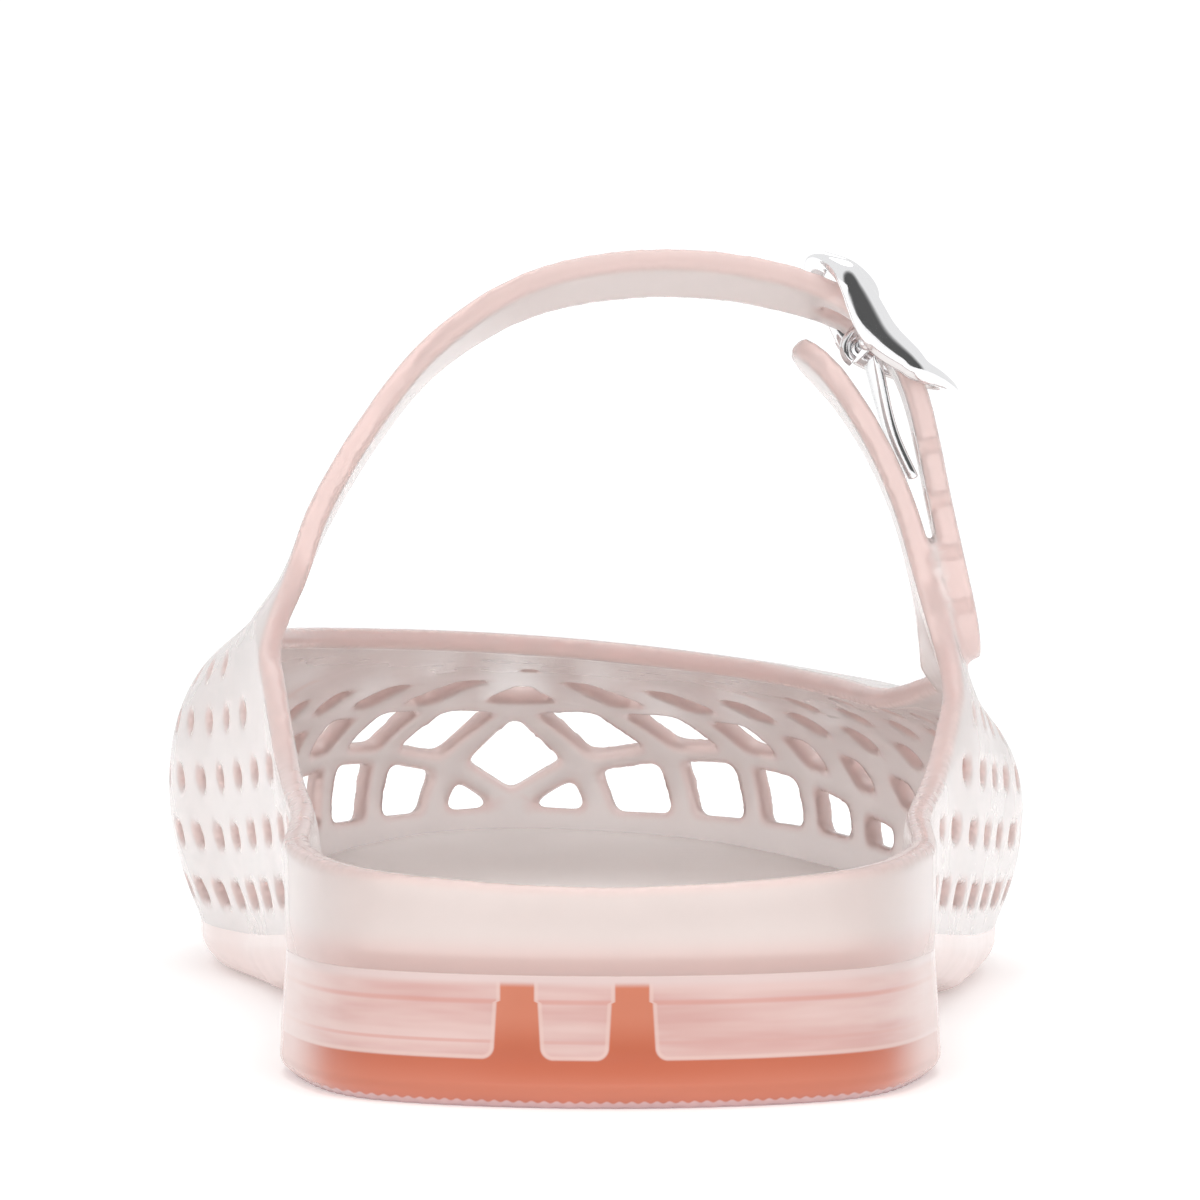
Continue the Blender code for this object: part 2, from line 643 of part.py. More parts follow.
def make_buckle(parts, cutters):
    metal = material("buckle_metal", METAL_COLOUR, 0.12, 1.0)
    lifts = Curve(
        [[BAR_LIFT], [MIDDLE_BAR_LIFT], [BAR_LIFT]], [TOP_BAR_AT, MIDDLE_BAR_AT, FOOT_BAR_AT],
    )
    rail = np.linspace(TOP_BAR_AT, FOOT_BAR_AT, 11)
    near_corner = FRAME_HALF_WIDTH - FRAME_CORNER
    loop = []
    for hand, places in ((-1.0, rail), (1.0, rail[::-1])):
        loop += [STRAP.point(at, hand * FRAME_HALF_WIDTH, float(lifts.at(at)[0])) for at in places[1:-1]]
        loop += [STRAP.point(places[-1], side * hand * near_corner, BAR_LIFT) for side in (1.0, -1.0)]
    frame = add_part(wire("buckle_frame", loop, FRAME_WIRE, True, cutters), parts, metal)
    ends = [STRAP.point(MIDDLE_BAR_AT, side * FRAME_HALF_WIDTH, MIDDLE_BAR_LIFT) for side in (-1.0, 1.0)]
    boolean(frame, add_cutter(wire("middle_bar", ends, BAR_RADIUS, False, cutters), cutters), "UNION")

    hook = BAR_RADIUS + GAP + PRONG_WIRE
    tip_lift = BAR_LIFT + FRAME_WIRE + GAP + PRONG_WIRE
    prong = [
        STRAP.point(MIDDLE_BAR_AT, 0.0, MIDDLE_BAR_LIFT - hook * math.cos(turn), hook * math.sin(turn))
        for turn in np.linspace(0.2, -math.pi / 2, 6)
    ]
    prong += [
        STRAP.point(MIDDLE_BAR_AT, 0.0, -0.6, -hook - 0.2),
        STRAP.point(MIDDLE_BAR_AT, 0.0, 1.5, -hook - 1.2),
        STRAP.point(TOP_BAR_AT + 2.0, 0.0, tip_lift),
        STRAP.point(TOP_BAR_AT - 1.0, 0.0, tip_lift),
    ]
    add_part(wire("buckle_prong", prong, PRONG_WIRE, False, cutters), parts, metal)

    seat_at = POST.nearest(CHAPE_SEAT_BY)
    rise = CHAPE_CLEARANCE + CHAPE_THICKNESS / 2.0
    bar_side = BAR_RADIUS + GAP + CHAPE_THICKNESS / 2.0
    seat_end = seat_at - CHAPE_SEAT_LENGTH
    half = CHAPE_WIDTH / 2.0
    corners = [
        [STRAP.point(MIDDLE_BAR_AT, hand * half, MIDDLE_BAR_LIFT, bar_side) for hand in (-1.0, 1.0)],
        [POST.point(seat_at, hand * half, rise) for hand in (-1.0, 1.0)],
        [POST.point(seat_end, hand * half, rise) for hand in (-1.0, 1.0)],
    ]
    bm = bmesh.new()
    rows = [[bm.verts.new(to_metres(corner)) for corner in pair] for pair in corners]
    for near, far in zip(rows, rows[1:]):
        bm.faces.new((near[0], near[1], far[1], far[0]))
    chape = add_part(mesh_from(bm, "buckle_chape"), parts, metal)
    plate = chape.modifiers.new("plate", "SOLIDIFY")
    plate.thickness = CHAPE_THICKNESS * MM
    plate.offset = 0.0


for existing in list(bpy.data.objects):
    bpy.data.objects.remove(existing)
sandal = bpy.data.collections.new("jelly_sandal")
helpers = bpy.data.collections.new("cutters")
bpy.context.scene.collection.children.link(sandal)
bpy.context.scene.collection.children.link(helpers)
make_sole(sandal, helpers)
make_insole(sandal)
make_upper(sandal)
make_buckle(sandal, helpers)
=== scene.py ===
import math

import bmesh
import bpy
import numpy as np
from mathutils import Euler, Matrix
from mathutils.kdtree import KDTree


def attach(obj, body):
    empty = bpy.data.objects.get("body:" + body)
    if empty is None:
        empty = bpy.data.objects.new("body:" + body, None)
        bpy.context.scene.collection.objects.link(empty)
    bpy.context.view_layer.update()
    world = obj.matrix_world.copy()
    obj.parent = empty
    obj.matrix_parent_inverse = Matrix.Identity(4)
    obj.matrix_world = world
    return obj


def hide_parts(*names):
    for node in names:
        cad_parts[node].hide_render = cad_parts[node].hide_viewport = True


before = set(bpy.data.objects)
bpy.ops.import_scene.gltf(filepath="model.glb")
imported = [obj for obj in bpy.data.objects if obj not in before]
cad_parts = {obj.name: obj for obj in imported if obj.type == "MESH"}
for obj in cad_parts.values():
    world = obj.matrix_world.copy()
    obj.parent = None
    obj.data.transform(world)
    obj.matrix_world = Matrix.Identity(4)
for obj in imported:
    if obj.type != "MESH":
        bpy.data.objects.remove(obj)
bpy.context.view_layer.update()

# Outsole
# One shot of clear coral-pink PVC. The low heel is cored from above into three open pockets with ribs between
# them, and the forefoot is a thin slab that turns up at the toe.
MM = 0.001
HEEL_SEAT_Y = 30.0
SOLE_SEAM = 0.06
SEAT = (
    (0.0, 11.8), (30.0, 11.8), (55.0, 11.5), (80.0, 9.8), (103.0, 8.0), (125.0, 6.6),
    (155.0, 5.8), (185.0, 6.0), (212.0, 7.3), (230.0, 8.9), (246.0, 10.6),
)
TREAD = (
    (0.0, 0.0), (56.0, 0.0), (58.0, 4.2), (61.0, 5.0), (80.0, 4.5), (103.0, 2.2), (122.0, 0.0),
    (185.0, 0.0), (200.0, 0.4), (212.0, 1.2), (230.0, 2.7), (246.0, 4.6),
)
HEEL_END = 50.0
WAIST_END = 76.0
SIDE = ((0.0, 0.0, 0.0), (0.38, -0.3, 0.1), (0.72, -0.5, 1.3), (0.91, -0.3, 2.8), (1.0, 0.9, 5.0))
SIDE_DEPTHS = (0.1, 0.22, 0.36, 0.5, 0.62, 0.72, 0.8, 0.86, 0.91, 0.95, 0.98, 1.0)
EDGE_ROUND = 0.16
SOLE_POINTS = 1040
TOOTH_PITCH = 2.2
TOOTH_DEPTH = 0.22
TOOTH_FROM = (0.93, 1.0)
TEETH_FADE = (40.0, 56.0)
PLAN_STEP = 0.5
CORNER_SHARE = 0.45
TOUCHING = 1e-6
RIB_COLUMNS = (
    "foot_x", "foot_y", "belly_out", "belly_up", "brow_out", "brow_up", "top_x", "top_y", "top_z",
)
RIBS = {
    "toe": (-13.0, 246.0, 4.0, 14.0, 0.0, -3.8, -8.0, 182.0, 37.8),
    "outer_toe_1": (0.0, 243.5, 4.0, 14.0, 0.0, -3.6, -2.0, 181.4, 37.3),
    "outer_toe_2": (12.0, 237.5, 4.0, 14.0, 0.0, -3.2, 4.0, 179.5, 36.7),
    "outer_toe_3": (23.0, 225.5, 4.0, 13.5, 1.0, -2.6, 11.0, 175.0, 35.9),
    "outer_toe_4": (32.0, 209.0, 4.5, 13.0, 2.0, -1.8, 18.0, 168.0, 35.0),
    "outer_ball_1": (40.5, 185.0, 5.0, 12.5, 4.0, -0.8, 25.0, 154.0, 33.8),
    "outer_ball_2": (44.0, 155.0, 6.0, 12.0, 5.5, 0.0, 30.5, 136.0, 33.0),
    "outer_post_front": (40.5, 125.0, 4.0, 11.0, 3.0, -4.0, 36.5, 117.5, 36.0),
    "outer_post_rear": (37.0, 103.0, 3.0, 10.0, 2.0, -6.0, 37.5, 104.0, 36.0),
    "outer_collar": (33.0, 80.0, 1.5, 6.0, 1.0, -4.0, 34.5, 83.0, 26.6),
    "outer_waist": (30.3, 55.0, 0.5, 3.0, 0.3, -2.5, 31.5, 57.0, 23.2),
    "outer_heel": (29.5, 28.0, 0.2, 2.5, 0.0, -2.5, 29.6, 28.0, 21.5),
    "outer_back": (22.0, 8.5, 0.0, 2.5, 0.0, -2.5, 22.0, 8.8, 20.6),
    "back": (0.0, 0.0, 0.0, 2.5, 0.0, -2.5, 0.0, 0.6, 19.7),
    "inner_back": (-22.0, 8.5, 0.0, 2.5, 0.0, -2.5, -22.0, 8.8, 20.6),
    "inner_heel": (-29.5, 28.0, 0.2, 2.5, 0.0, -2.5, -29.6, 28.0, 21.5),
    "inner_waist": (-29.8, 55.0, 0.5, 3.0, 0.3, -2.5, -31.5, 57.0, 23.4),
    "inner_collar": (-31.5, 80.0, 1.5, 6.0, 1.0, -4.0, -34.5, 83.0, 27.5),
    "inner_post_rear": (-35.5, 103.0, 3.0, 10.0, 2.0, -6.0, -37.5, 104.0, 40.0),
    "inner_post_front": (-39.5, 125.0, 5.0, 12.0, 4.0, -4.0, -38.5, 117.5, 41.0),
    "inner_ball_2": (-47.0, 158.0, 7.0, 14.0, 5.0, -1.6, -37.5, 140.0, 39.6),
    "inner_ball_1": (-47.5, 186.0, 5.0, 14.0, 4.0, -2.0, -34.0, 157.0, 39.3),
    "inner_toe_4": (-42.0, 212.0, 4.5, 14.0, 2.0, -2.8, -28.0, 168.0, 39.0),
    "inner_toe_3": (-35.0, 230.0, 4.0, 14.0, 1.0, -3.4, -22.0, 175.0, 38.7),
    "inner_toe_2": (-25.5, 241.5, 4.0, 14.0, 0.0, -3.7, -15.0, 179.6, 38.3),
}


def ease(value, start, end):
    """Rises smoothly from 0 at start to 1 at end."""
    share = np.clip((value - start) / (end - start), 0.0, 1.0)
    return share * share * (3.0 - 2.0 * share)


def unit(vectors):
    return vectors / np.linalg.norm(vectors, axis=-1, keepdims=True)


class Curve:
    """A smooth curve through rows, one knot for each; a closed one runs on from its last to its first."""

    def __init__(self, rows, knots, closed=False):
        self.rows = np.array(rows, float)
        self.knots = np.array(knots, float)
        self.closed = closed
        self.length = float(self.knots[-1] - self.knots[0])
        self.slopes = np.gradient(self.rows, self.knots, axis=0)
        if closed:
            span = self.knots[1] - self.knots[-2] + self.length
            self.slopes[0] = self.slopes[-1] = (self.rows[1] - self.rows[-2]) / span

    def at(self, place):
        if self.closed:
            place = np.mod(place, self.length)
        place = np.clip(place, self.knots[0], self.knots[-1])
        i = np.minimum(np.searchsorted(self.knots, place, side="right") - 1, len(self.knots) - 2)
        gap = (self.knots[i + 1] - self.knots[i])[..., None]
        u = (place - self.knots[i])[..., None] / gap
        ends = self.rows[i] * (1 + 2 * u) * (1 - u) ** 2 + self.rows[i + 1] * u * u * (3 - 2 * u)
        return ends + gap * u * (1 - u) * (self.slopes[i] * (1 - u) - self.slopes[i + 1] * u)


def chord_marks(points):
    steps = np.linalg.norm(np.diff(np.array(points, float), axis=0), axis=1)
    return np.concatenate([[0.0], np.cumsum(steps)])


RIB_ROWS = np.array([*RIBS.values(), RIBS["toe"]])
RIB_MARKS = chord_marks(RIB_ROWS[:, :2])
LAST = Curve(RIB_ROWS, RIB_MARKS, closed=True)
SEAT_CURVE = Curve([[z] for _, z in SEAT], [y for y, _ in SEAT])
SIDE_CURVE = Curve([row[1:] for row in SIDE], [row[0] for row in SIDE])


def seat_height(y):
    return SEAT_CURVE.at(y)[..., 0]


def tread_height(y):
    return float(np.interp(y, [row[0] for row in TREAD], [row[1] for row in TREAD]))


def outward_at(place):
    """The plan direction out of the foot outline."""
    ahead = LAST.at(place + PLAN_STEP) - LAST.at(place - PLAN_STEP)
    return unit(np.stack([-ahead[..., 1], ahead[..., 0]], axis=-1))


FOOT_PLACES = np.linspace(0.0, LAST.length, SOLE_POINTS, endpoint=False)
FOOT_POINTS = LAST.at(FOOT_PLACES)[:, :2]
FOOT_OUT = outward_at(FOOT_PLACES)


def foot_loop(heel_inset, ball_inset, tooth=0.0):
    """The foot outline moved inwards, by one amount at the heel and another from the waist on."""
    y = FOOT_POINTS[:, 1]
    wave = 0.5 + 0.5 * np.cos(2.0 * math.pi * FOOT_PLACES / TOOTH_PITCH)
    inset = heel_inset + (ball_inset - heel_inset) * ease(y, HEEL_END, WAIST_END)
    inset = inset + tooth * wave * (1.0 - ease(y, *TEETH_FADE))
    return FOOT_POINTS - FOOT_OUT * inset[:, None]


def to_metres(point):
    x, y, z = point
    return (x * MM, (y - HEEL_SEAT_Y) * MM, z * MM)


def ring(bm, points):
    """A closed ring of edges through points in millimetres."""
    verts = bmesh.ops.create_circle(bm, segments=len(points), radius=1.0)["verts"]
    for vert, point in zip(verts, points):
        vert.co = to_metres(point)
    return [bm.edges.get((verts[i - 1], verts[i])) for i in range(len(verts))]


def stack(bm, loops):
    """Bridges rings of points one to the next and gives back the edges of the first and of the last."""
    rings = [ring(bm, loop) for loop in loops]
    for near, far in zip(rings, rings[1:]):
        bmesh.ops.bridge_loops(bm, edges=near + far)
    return rings[0], rings[-1]


def lid(bm, edges, height_at, step):
    """Fills rings of edges and bends the fill along the foot to a height."""
    filled = bmesh.ops.triangle_fill(bm, edges=edges, use_beauty=True, normal=(0.0, 0.0, 1.0))["geom"]
    faces = [piece for piece in filled if isinstance(piece, bmesh.types.BMFace)]
    low = min(v.co.y for face in faces for v in face.verts)
    high = max(v.co.y for face in faces for v in face.verts)
    for y in np.arange(low + step * MM, high, step * MM):
        near = [face for face in faces if min(v.co.y for v in face.verts) < y < max(v.co.y for v in face.verts)]
        cut_faces = set(near)
        others = [face for face in faces if face not in cut_faces]
        near_edges = dict.fromkeys(edge for face in near for edge in face.edges)
        near_verts = dict.fromkeys(vert for face in near for vert in face.verts)
        cut = bmesh.ops.bisect_plane(
            bm, geom=[*near_verts, *near_edges, *near], dist=TOUCHING,
            plane_co=(0.0, y, 0.0), plane_no=(0.0, 1.0, 0.0),
        )["geom"]
        faces = others + [piece for piece in cut if isinstance(piece, bmesh.types.BMFace)]
    for vert in dict.fromkeys(vert for face in faces for vert in face.verts):
        vert.co.z = height_at(vert.co.y / MM + HEEL_SEAT_Y) * MM


def rounded(corners, radius, steps=4):
    """A polygon with its corners turned into arcs."""
    points = []
    for i, corner in enumerate(corners):
        before, after = corners[i - 1] - corner, corners[(i + 1) % len(corners)] - corner
        cut = min(radius, CORNER_SHARE * np.linalg.norm(before), CORNER_SHARE * np.linalg.norm(after))
        start = corner + before / np.linalg.norm(before) * cut
        end = corner + after / np.linalg.norm(after) * cut
        for u in np.linspace(0.0, 1.0, steps + 1):
            points.append(start * (1 - u) ** 2 + corner * 2 * u * (1 - u) + end * u * u)
    return points


def inset_loop(points, inset):
    """A smooth ring of plan points moved inwards."""
    points = np.array(points)
    run = np.roll(points, -1, axis=0) - np.roll(points, 1, axis=0)
    turn = np.sum(points[:, 0] * np.roll(points[:, 1], -1) - np.roll(points[:, 0], -1) * points[:, 1])
    out = np.stack([run[:, 1], -run[:, 0]], axis=1) * np.sign(turn)
    return points - out / np.linalg.norm(out, axis=1)[:, None] * inset


def add_piece(name, bm_or_mesh):
    """Makes a named object of a mesh that is already in its place."""
    mesh = bm_or_mesh
    if isinstance(bm_or_mesh, bmesh.types.BMesh):
        mesh = bpy.data.meshes.new(name)
        bm_or_mesh.to_mesh(mesh)
        bm_or_mesh.free()
    piece = bpy.data.objects.new(name, mesh)
    bpy.context.scene.collection.objects.link(piece)
    return piece


def settle(piece, finish, node):
    """Gives a finished piece its material and its place in the frame."""
    piece.data.materials.clear()
    piece.data.materials.append(finish)
    piece.data.shade_smooth()
    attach(piece, "root")
    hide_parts(node)


class Flow:
    """A value on its way through a material, which adds a Math node for each sum."""

    def __init__(self, finish, socket):
        self.finish = finish
        self.socket = socket

    def maths(self, operation, first, second):
        return self.finish.node("ShaderNodeMath", {"operation": operation}, {0: first, 1: second})

    def __add__(self, other):
        return self.maths("ADD", self, other)

    def __radd__(self, other):
        return self.maths("ADD", other, self)

    def __sub__(self, other):
        return self.maths("SUBTRACT", self, other)

    def __rsub__(self, other):
        return self.maths("SUBTRACT", other, self)

    def __mul__(self, other):
        return self.maths("MULTIPLY", self, other)

    def __rmul__(self, other):
        return self.maths("MULTIPLY", other, self)

    def __truediv__(self, other):
        return self.maths("DIVIDE", self, other)

    def __pow__(self, other):
        return self.maths("POWER", self, other)

    def __abs__(self):
        return self.maths("ABSOLUTE", self, 0.0)

    def most(self, other):
        return self.maths("MAXIMUM", self, other)

    def step(self, start, end):
        """Rises smoothly from 0 at start to 1 at end; a start above the end makes it fall."""
        values = {"Value": self, "From Min": start, "From Max": end}
        return self.finish.node("ShaderNodeMapRange", {"interpolation_type": "SMOOTHSTEP"}, values)


class Finish:
    """A material with one Principled shader, built up node by node."""

    def __init__(self, name):
        self.material = bpy.data.materials.new(name)
        self.material.use_nodes = True
        self.tree = self.material.node_tree
        self.shader = self.tree.nodes["Principled BSDF"]
        self.output = self.tree.nodes["Material Output"]

    def feed(self, socket, value):
        if isinstance(value, Flow):
            self.tree.links.new(value.socket, socket)
        else:
            socket.default_value = value

    def node(self, kind, settings, values, out=0):
        made = self.tree.nodes.new(kind)
        for name, value in settings.items():
            setattr(made, name, value)
        for name, value in values.items():
            self.feed(made.inputs[name], value)
        return Flow(self, made.outputs[out])

    def place(self):
        return self.node("ShaderNodeTexCoord", {}, {}, "Object")

    def millimetres(self):
        """The place on the piece along the three axes, in millimetres, with y counted from the back of the heel."""
        x, y, z = [self.node("ShaderNodeSeparateXYZ", {}, {0: self.place()}, out) for out in range(3)]
        return x / MM, y / MM + HEEL_SEAT_Y, z / MM

    def noise(self, scale, detail=2.0, roughness=0.5, stretch=(1.0, 1.0, 1.0)):
        spot = self.node("ShaderNodeMapping", {}, {"Vector": self.place(), "Scale": stretch})
        values = {"Vector": spot, "Scale": scale, "Detail": detail, "Roughness": roughness}
        return self.node("ShaderNodeTexNoise", {}, values)

    def blend(self, share, first, second):
        settings = {"data_type": "RGBA"}
        return self.node("ShaderNodeMix", settings, {0: share, 6: first, 7: second}, 2)

    def bump(self, height, strength, distance):
        values = {"Height": height, "Strength": strength, "Distance": distance}
        return self.node("ShaderNodeBump", {}, values)

    def set(self, **values):
        for name, value in values.items():
            self.feed(self.shader.inputs[name.replace("_", " ")], value)

    def absorb(self, colour, density):
        """Fills the piece with a tint that deepens with its thickness."""
        tint = self.node("ShaderNodeVolumeAbsorption", {}, {"Color": colour, "Density": density})
        self.tree.links.new(tint.socket, self.output.inputs["Volume"])


POCKET_WALL = 4.0
POCKET_FRONT = 52.0
POCKET_CORNER = 2.4
POCKETS = {"inner": (-40.0, -9.7), "middle": (-6.6, 0.4), "outer": (3.5, 40.0)}
POCKET_STEPS = ((9.7, 0.0), (9.3, 0.45), (6.0, 0.7), (5.2, 0.85), (4.7, 1.15), (4.45, 1.6), (4.4, 2.1))
POCKET_FLOOR = 4.4
POCKET_STEP = 9.4
POCKET_STEP_WIDTH = 0.3
POCKET_STEP_SOFT = 0.1
POCKET_TAPER = 0.06
POCKET_FLOOR_CORNER = 1.0
POCKET_POINTS = 60
POCKET_NARROWEST = 2.5
HEEL_REACH = 80.0
SEAT_STEP = 5.0
TREAD_STEP = 2.0
LINE_SOFT = 0.12
GLINT_FADE = (0.3, 0.05)
GLINT_SHARE = 0.6
SHELF_HEIGHT = 5.9
STEP_LINE_FADE = (0.35, 0.05)
SHELF_LINE_FADE = (0.25, 0.05)
SHELF_SHARE = 0.5
DEEP_FROM = (0.5, 4.6)
RIB_GLOW_FROM = (4.2, 8.5)
SEAM_GLOW_FROM = (10.6, 11.3)
SIDE_TURN = (24.5, 29.8)
SIDE_SHARE = 0.75
RIM_HEIGHT = 0.6
RIM_TOOTH = 0.1
HEEL_SHADE = 0.14
CORAL_FOOT = (0.72, 0.24, 0.15, 1.0)
CORAL_DEEP = (0.60, 0.15, 0.075, 1.0)
CORAL_RIB = (0.72, 0.25, 0.155, 1.0)
POCKET_PINK = (0.74, 0.44, 0.40, 1.0)
POCKET_PALE = (0.86, 0.63, 0.59, 1.0)
SHELF_PINK = (0.74, 0.32, 0.26, 1.0)
GLINT_PINK = (0.90, 0.66, 0.60, 1.0)
SIDE_PINK = (0.82, 0.60, 0.55, 1.0)
SEAM_PINK = (0.86, 0.68, 0.65, 1.0)
RIM_PINK = (0.86, 0.60, 0.60, 1.0)
SHADE = (0.0, 0.0, 0.0, 1.0)
FOREFOOT_PINK = (0.80, 0.60, 0.56, 1.0)
FOREFOOT_PALE = (0.86, 0.70, 0.67, 1.0)
CORAL_TINT = (0.816, 0.346, 0.124, 1.0)
CORAL_DENSITY = 30.0
PVC_IOR = 1.47

sole = bmesh.new()
loops = []
for turn in np.linspace(0.0, math.pi / 2, 4):
    inset = EDGE_ROUND * (1.0 - math.sin(turn))
    drop = EDGE_ROUND * (1.0 - math.cos(turn)) + SOLE_SEAM
    loops.append([(x, y, seat_height(y) - drop) for x, y in foot_loop(inset, inset)])
for depth in SIDE_DEPTHS:
    heel_inset, ball_inset = SIDE_CURVE.at(depth)
    loop = []
    for x, y in foot_loop(heel_inset, ball_inset, TOOTH_DEPTH * ease(depth, *TOOTH_FROM)):
        low, high = tread_height(y), seat_height(y) - SOLE_SEAM
        loop.append((x, y, high + (low - high) * depth))
    loops.append(loop)
seat_edge, tread_edge = stack(sole, loops)
core = np.array(foot_loop(POCKET_WALL, POCKET_WALL))
heel = core[core[:, 1] < HEEL_REACH]
outer_wall = heel[heel[:, 0] >= 0.0]
inner_wall = heel[heel[:, 0] < 0.0]
outer_wall = outer_wall[np.argsort(outer_wall[:, 1])]
inner_wall = inner_wall[np.argsort(inner_wall[:, 1])]
mouths = []
for inner_x, outer_x in POCKETS.values():
    left_side = []
    right_side = []
    for y in np.linspace(float(heel[:, 1].min()), POCKET_FRONT, POCKET_POINTS):
        left = max(float(np.interp(y, inner_wall[:, 1], inner_wall[:, 0])), inner_x)
        right = min(float(np.interp(y, outer_wall[:, 1], outer_wall[:, 0])), outer_x)
        if right - left > POCKET_NARROWEST:
            left_side.append(np.array([left, y]))
            right_side.append(np.array([right, y]))
    mouth = rounded(right_side + left_side[::-1], POCKET_CORNER, 3)
    levels = [[(x, y, seat_height(y) - SOLE_SEAM) for x, y in mouth]]
    for z, inset in POCKET_STEPS:
        levels.append([(x, y, z) for x, y in inset_loop(mouth, inset)])
    mouth_edge, floor_edge = stack(sole, levels)
    mouths += mouth_edge
    bmesh.ops.triangle_fill(sole, edges=floor_edge, use_beauty=True, normal=(0.0, 0.0, 1.0))
lid(sole, seat_edge + mouths, lambda y: seat_height(y) - SOLE_SEAM, SEAT_STEP)
lid(sole, tread_edge, tread_height, TREAD_STEP)
bmesh.ops.remove_doubles(sole, verts=sole.verts, dist=TOUCHING)
bmesh.ops.recalc_face_normals(sole, faces=sole.faces)
outsole = add_piece("outsole_moulding", sole)

coral = Finish("sole_jelly")
x, y, z = coral.millimetres()
# Painted light seen through the clear heel: pale, streaked pink where the open pockets lie behind the outer wall,
# and coral through the solid plastic.
streak = coral.noise(34.0, 3.0, 0.55, (1.0, 1.0, 9.0)).step(0.32, 0.68)
cloud = coral.noise(60.0)
hollow = glint = 0.0
for inner_x, outer_x in POCKETS.values():
    under_step = z.step(POCKET_STEP + POCKET_STEP_SOFT, POCKET_STEP - POCKET_STEP_SOFT)
    taper = (POCKET_STEP - z).most(0.0) * POCKET_TAPER + under_step * POCKET_STEP_WIDTH
    beside = abs(x - (inner_x + outer_x) / 2.0) + taper - (outer_x - inner_x) / 2.0 + POCKET_FLOOR_CORNER
    below = POCKET_FLOOR + POCKET_FLOOR_CORNER - z
    reach = (beside.most(0.0) ** 2.0 + below.most(0.0) ** 2.0) ** 0.5
    hollow = reach.step(POCKET_FLOOR_CORNER + LINE_SOFT, POCKET_FLOOR_CORNER - LINE_SOFT).most(hollow)
    glint = abs(reach - POCKET_FLOOR_CORNER + LINE_SOFT).step(*GLINT_FADE).most(glint)
# Painted light through the solid plastic: deepest coral just under the pocket floors, lighter at the floor and up
# the ribs.
deep = coral.blend(z.step(*DEEP_FROM), CORAL_FOOT, CORAL_DEEP)
rib_glow = coral.blend(z.step(*RIB_GLOW_FROM), deep, CORAL_RIB)
pale = coral.blend(streak, POCKET_PINK, POCKET_PALE)
# Painted darker lines where the pockets' steps show through the outer wall.
step_line = abs(z - POCKET_STEP).step(*STEP_LINE_FADE) * SHELF_SHARE
shelf_line = abs(z - SHELF_HEIGHT).step(*SHELF_LINE_FADE) * streak * SHELF_SHARE
pocket_glow = coral.blend(step_line.most(shelf_line), pale, SHELF_PINK)
# Painted highlight along the rounded floor edge of each pocket.
heel_glow = coral.blend(glint * GLINT_SHARE, coral.blend(hollow, rib_glow, pocket_glow), GLINT_PINK)
# Painted light: paler towards the heel's sides, where it turns away.
turned = coral.blend(abs(x).step(*SIDE_TURN) * SIDE_SHARE, heel_glow, SIDE_PINK)
# Painted highlight: a pale band along the top of the heel, under the upper.
seam_glow = coral.blend(z.step(*SEAM_GLOW_FROM), turned, SEAM_PINK)
# Painted light: a pale toothed line along the bottom edge, where light shows through the thin teeth.
tooth = coral.node("ShaderNodeMath", {"operation": "SINE"}, {0: x * (4.0 * math.pi / TOOTH_PITCH)})
foot_rim = (z + tooth * RIM_TOOTH).step(RIM_HEIGHT + LINE_SOFT, RIM_HEIGHT - LINE_SOFT)
heel_rim = coral.blend(HEEL_SHADE, coral.blend(foot_rim, seam_glow, RIM_PINK), SHADE)
forefoot = coral.blend(cloud, FOREFOOT_PINK, FOREFOOT_PALE)
coral.set(Base_Color=coral.blend(y.step(HEEL_END, WAIST_END), heel_rim, forefoot))
coral.set(Transmission_Weight=0.18, IOR=PVC_IOR, Roughness=0.10 + coral.noise(140.0) * 0.10)
coral.set(Normal=coral.bump(coral.noise(70.0, 1.0), 0.12, 0.0006))
coral.absorb(CORAL_TINT, CORAL_DENSITY)
settle(outsole, coral.material, "outsole")

# Insole
# A thin cream sheet, die cut to the inside of the wall and laid on the seat.
INSOLE_INSET = 3.5
INSOLE_SECTION = ((0.25, 0.0), (0.0, 0.2), (0.0, 1.05), (0.12, 1.22), (0.4, 1.3))
INSOLE_STEP = 2.5
CREAM_DEEP = (0.95, 0.91, 0.89, 1.0)
CREAM_PALE = (0.98, 0.95, 0.93, 1.0)

sheet = bmesh.new()
loops = []
for inset, up in INSOLE_SECTION:
    loop = foot_loop(INSOLE_INSET + inset, INSOLE_INSET + inset)[::2]
    loops.append([(x, y, seat_height(y) + up) for x, y in loop])
under, over = stack(sheet, loops)
lid(sheet, under, seat_height, SEAT_STEP)
lid(sheet, over, lambda y: seat_height(y) + INSOLE_SECTION[-1][1], INSOLE_STEP)
bmesh.ops.recalc_face_normals(sheet, faces=sheet.faces)
insole = add_piece("insole_sheet", sheet)

cream = Finish("insole_cream")
grain = cream.noise(2600.0, 3.0, 0.6)
cloud = cream.noise(45.0)
cream.set(Base_Color=cream.blend(cloud, CREAM_DEEP, CREAM_PALE))
cream.set(Roughness=0.55 + grain * 0.2, Normal=cream.bump(grain, 0.25, 0.0001))
settle(insole, cream.material, "insole")

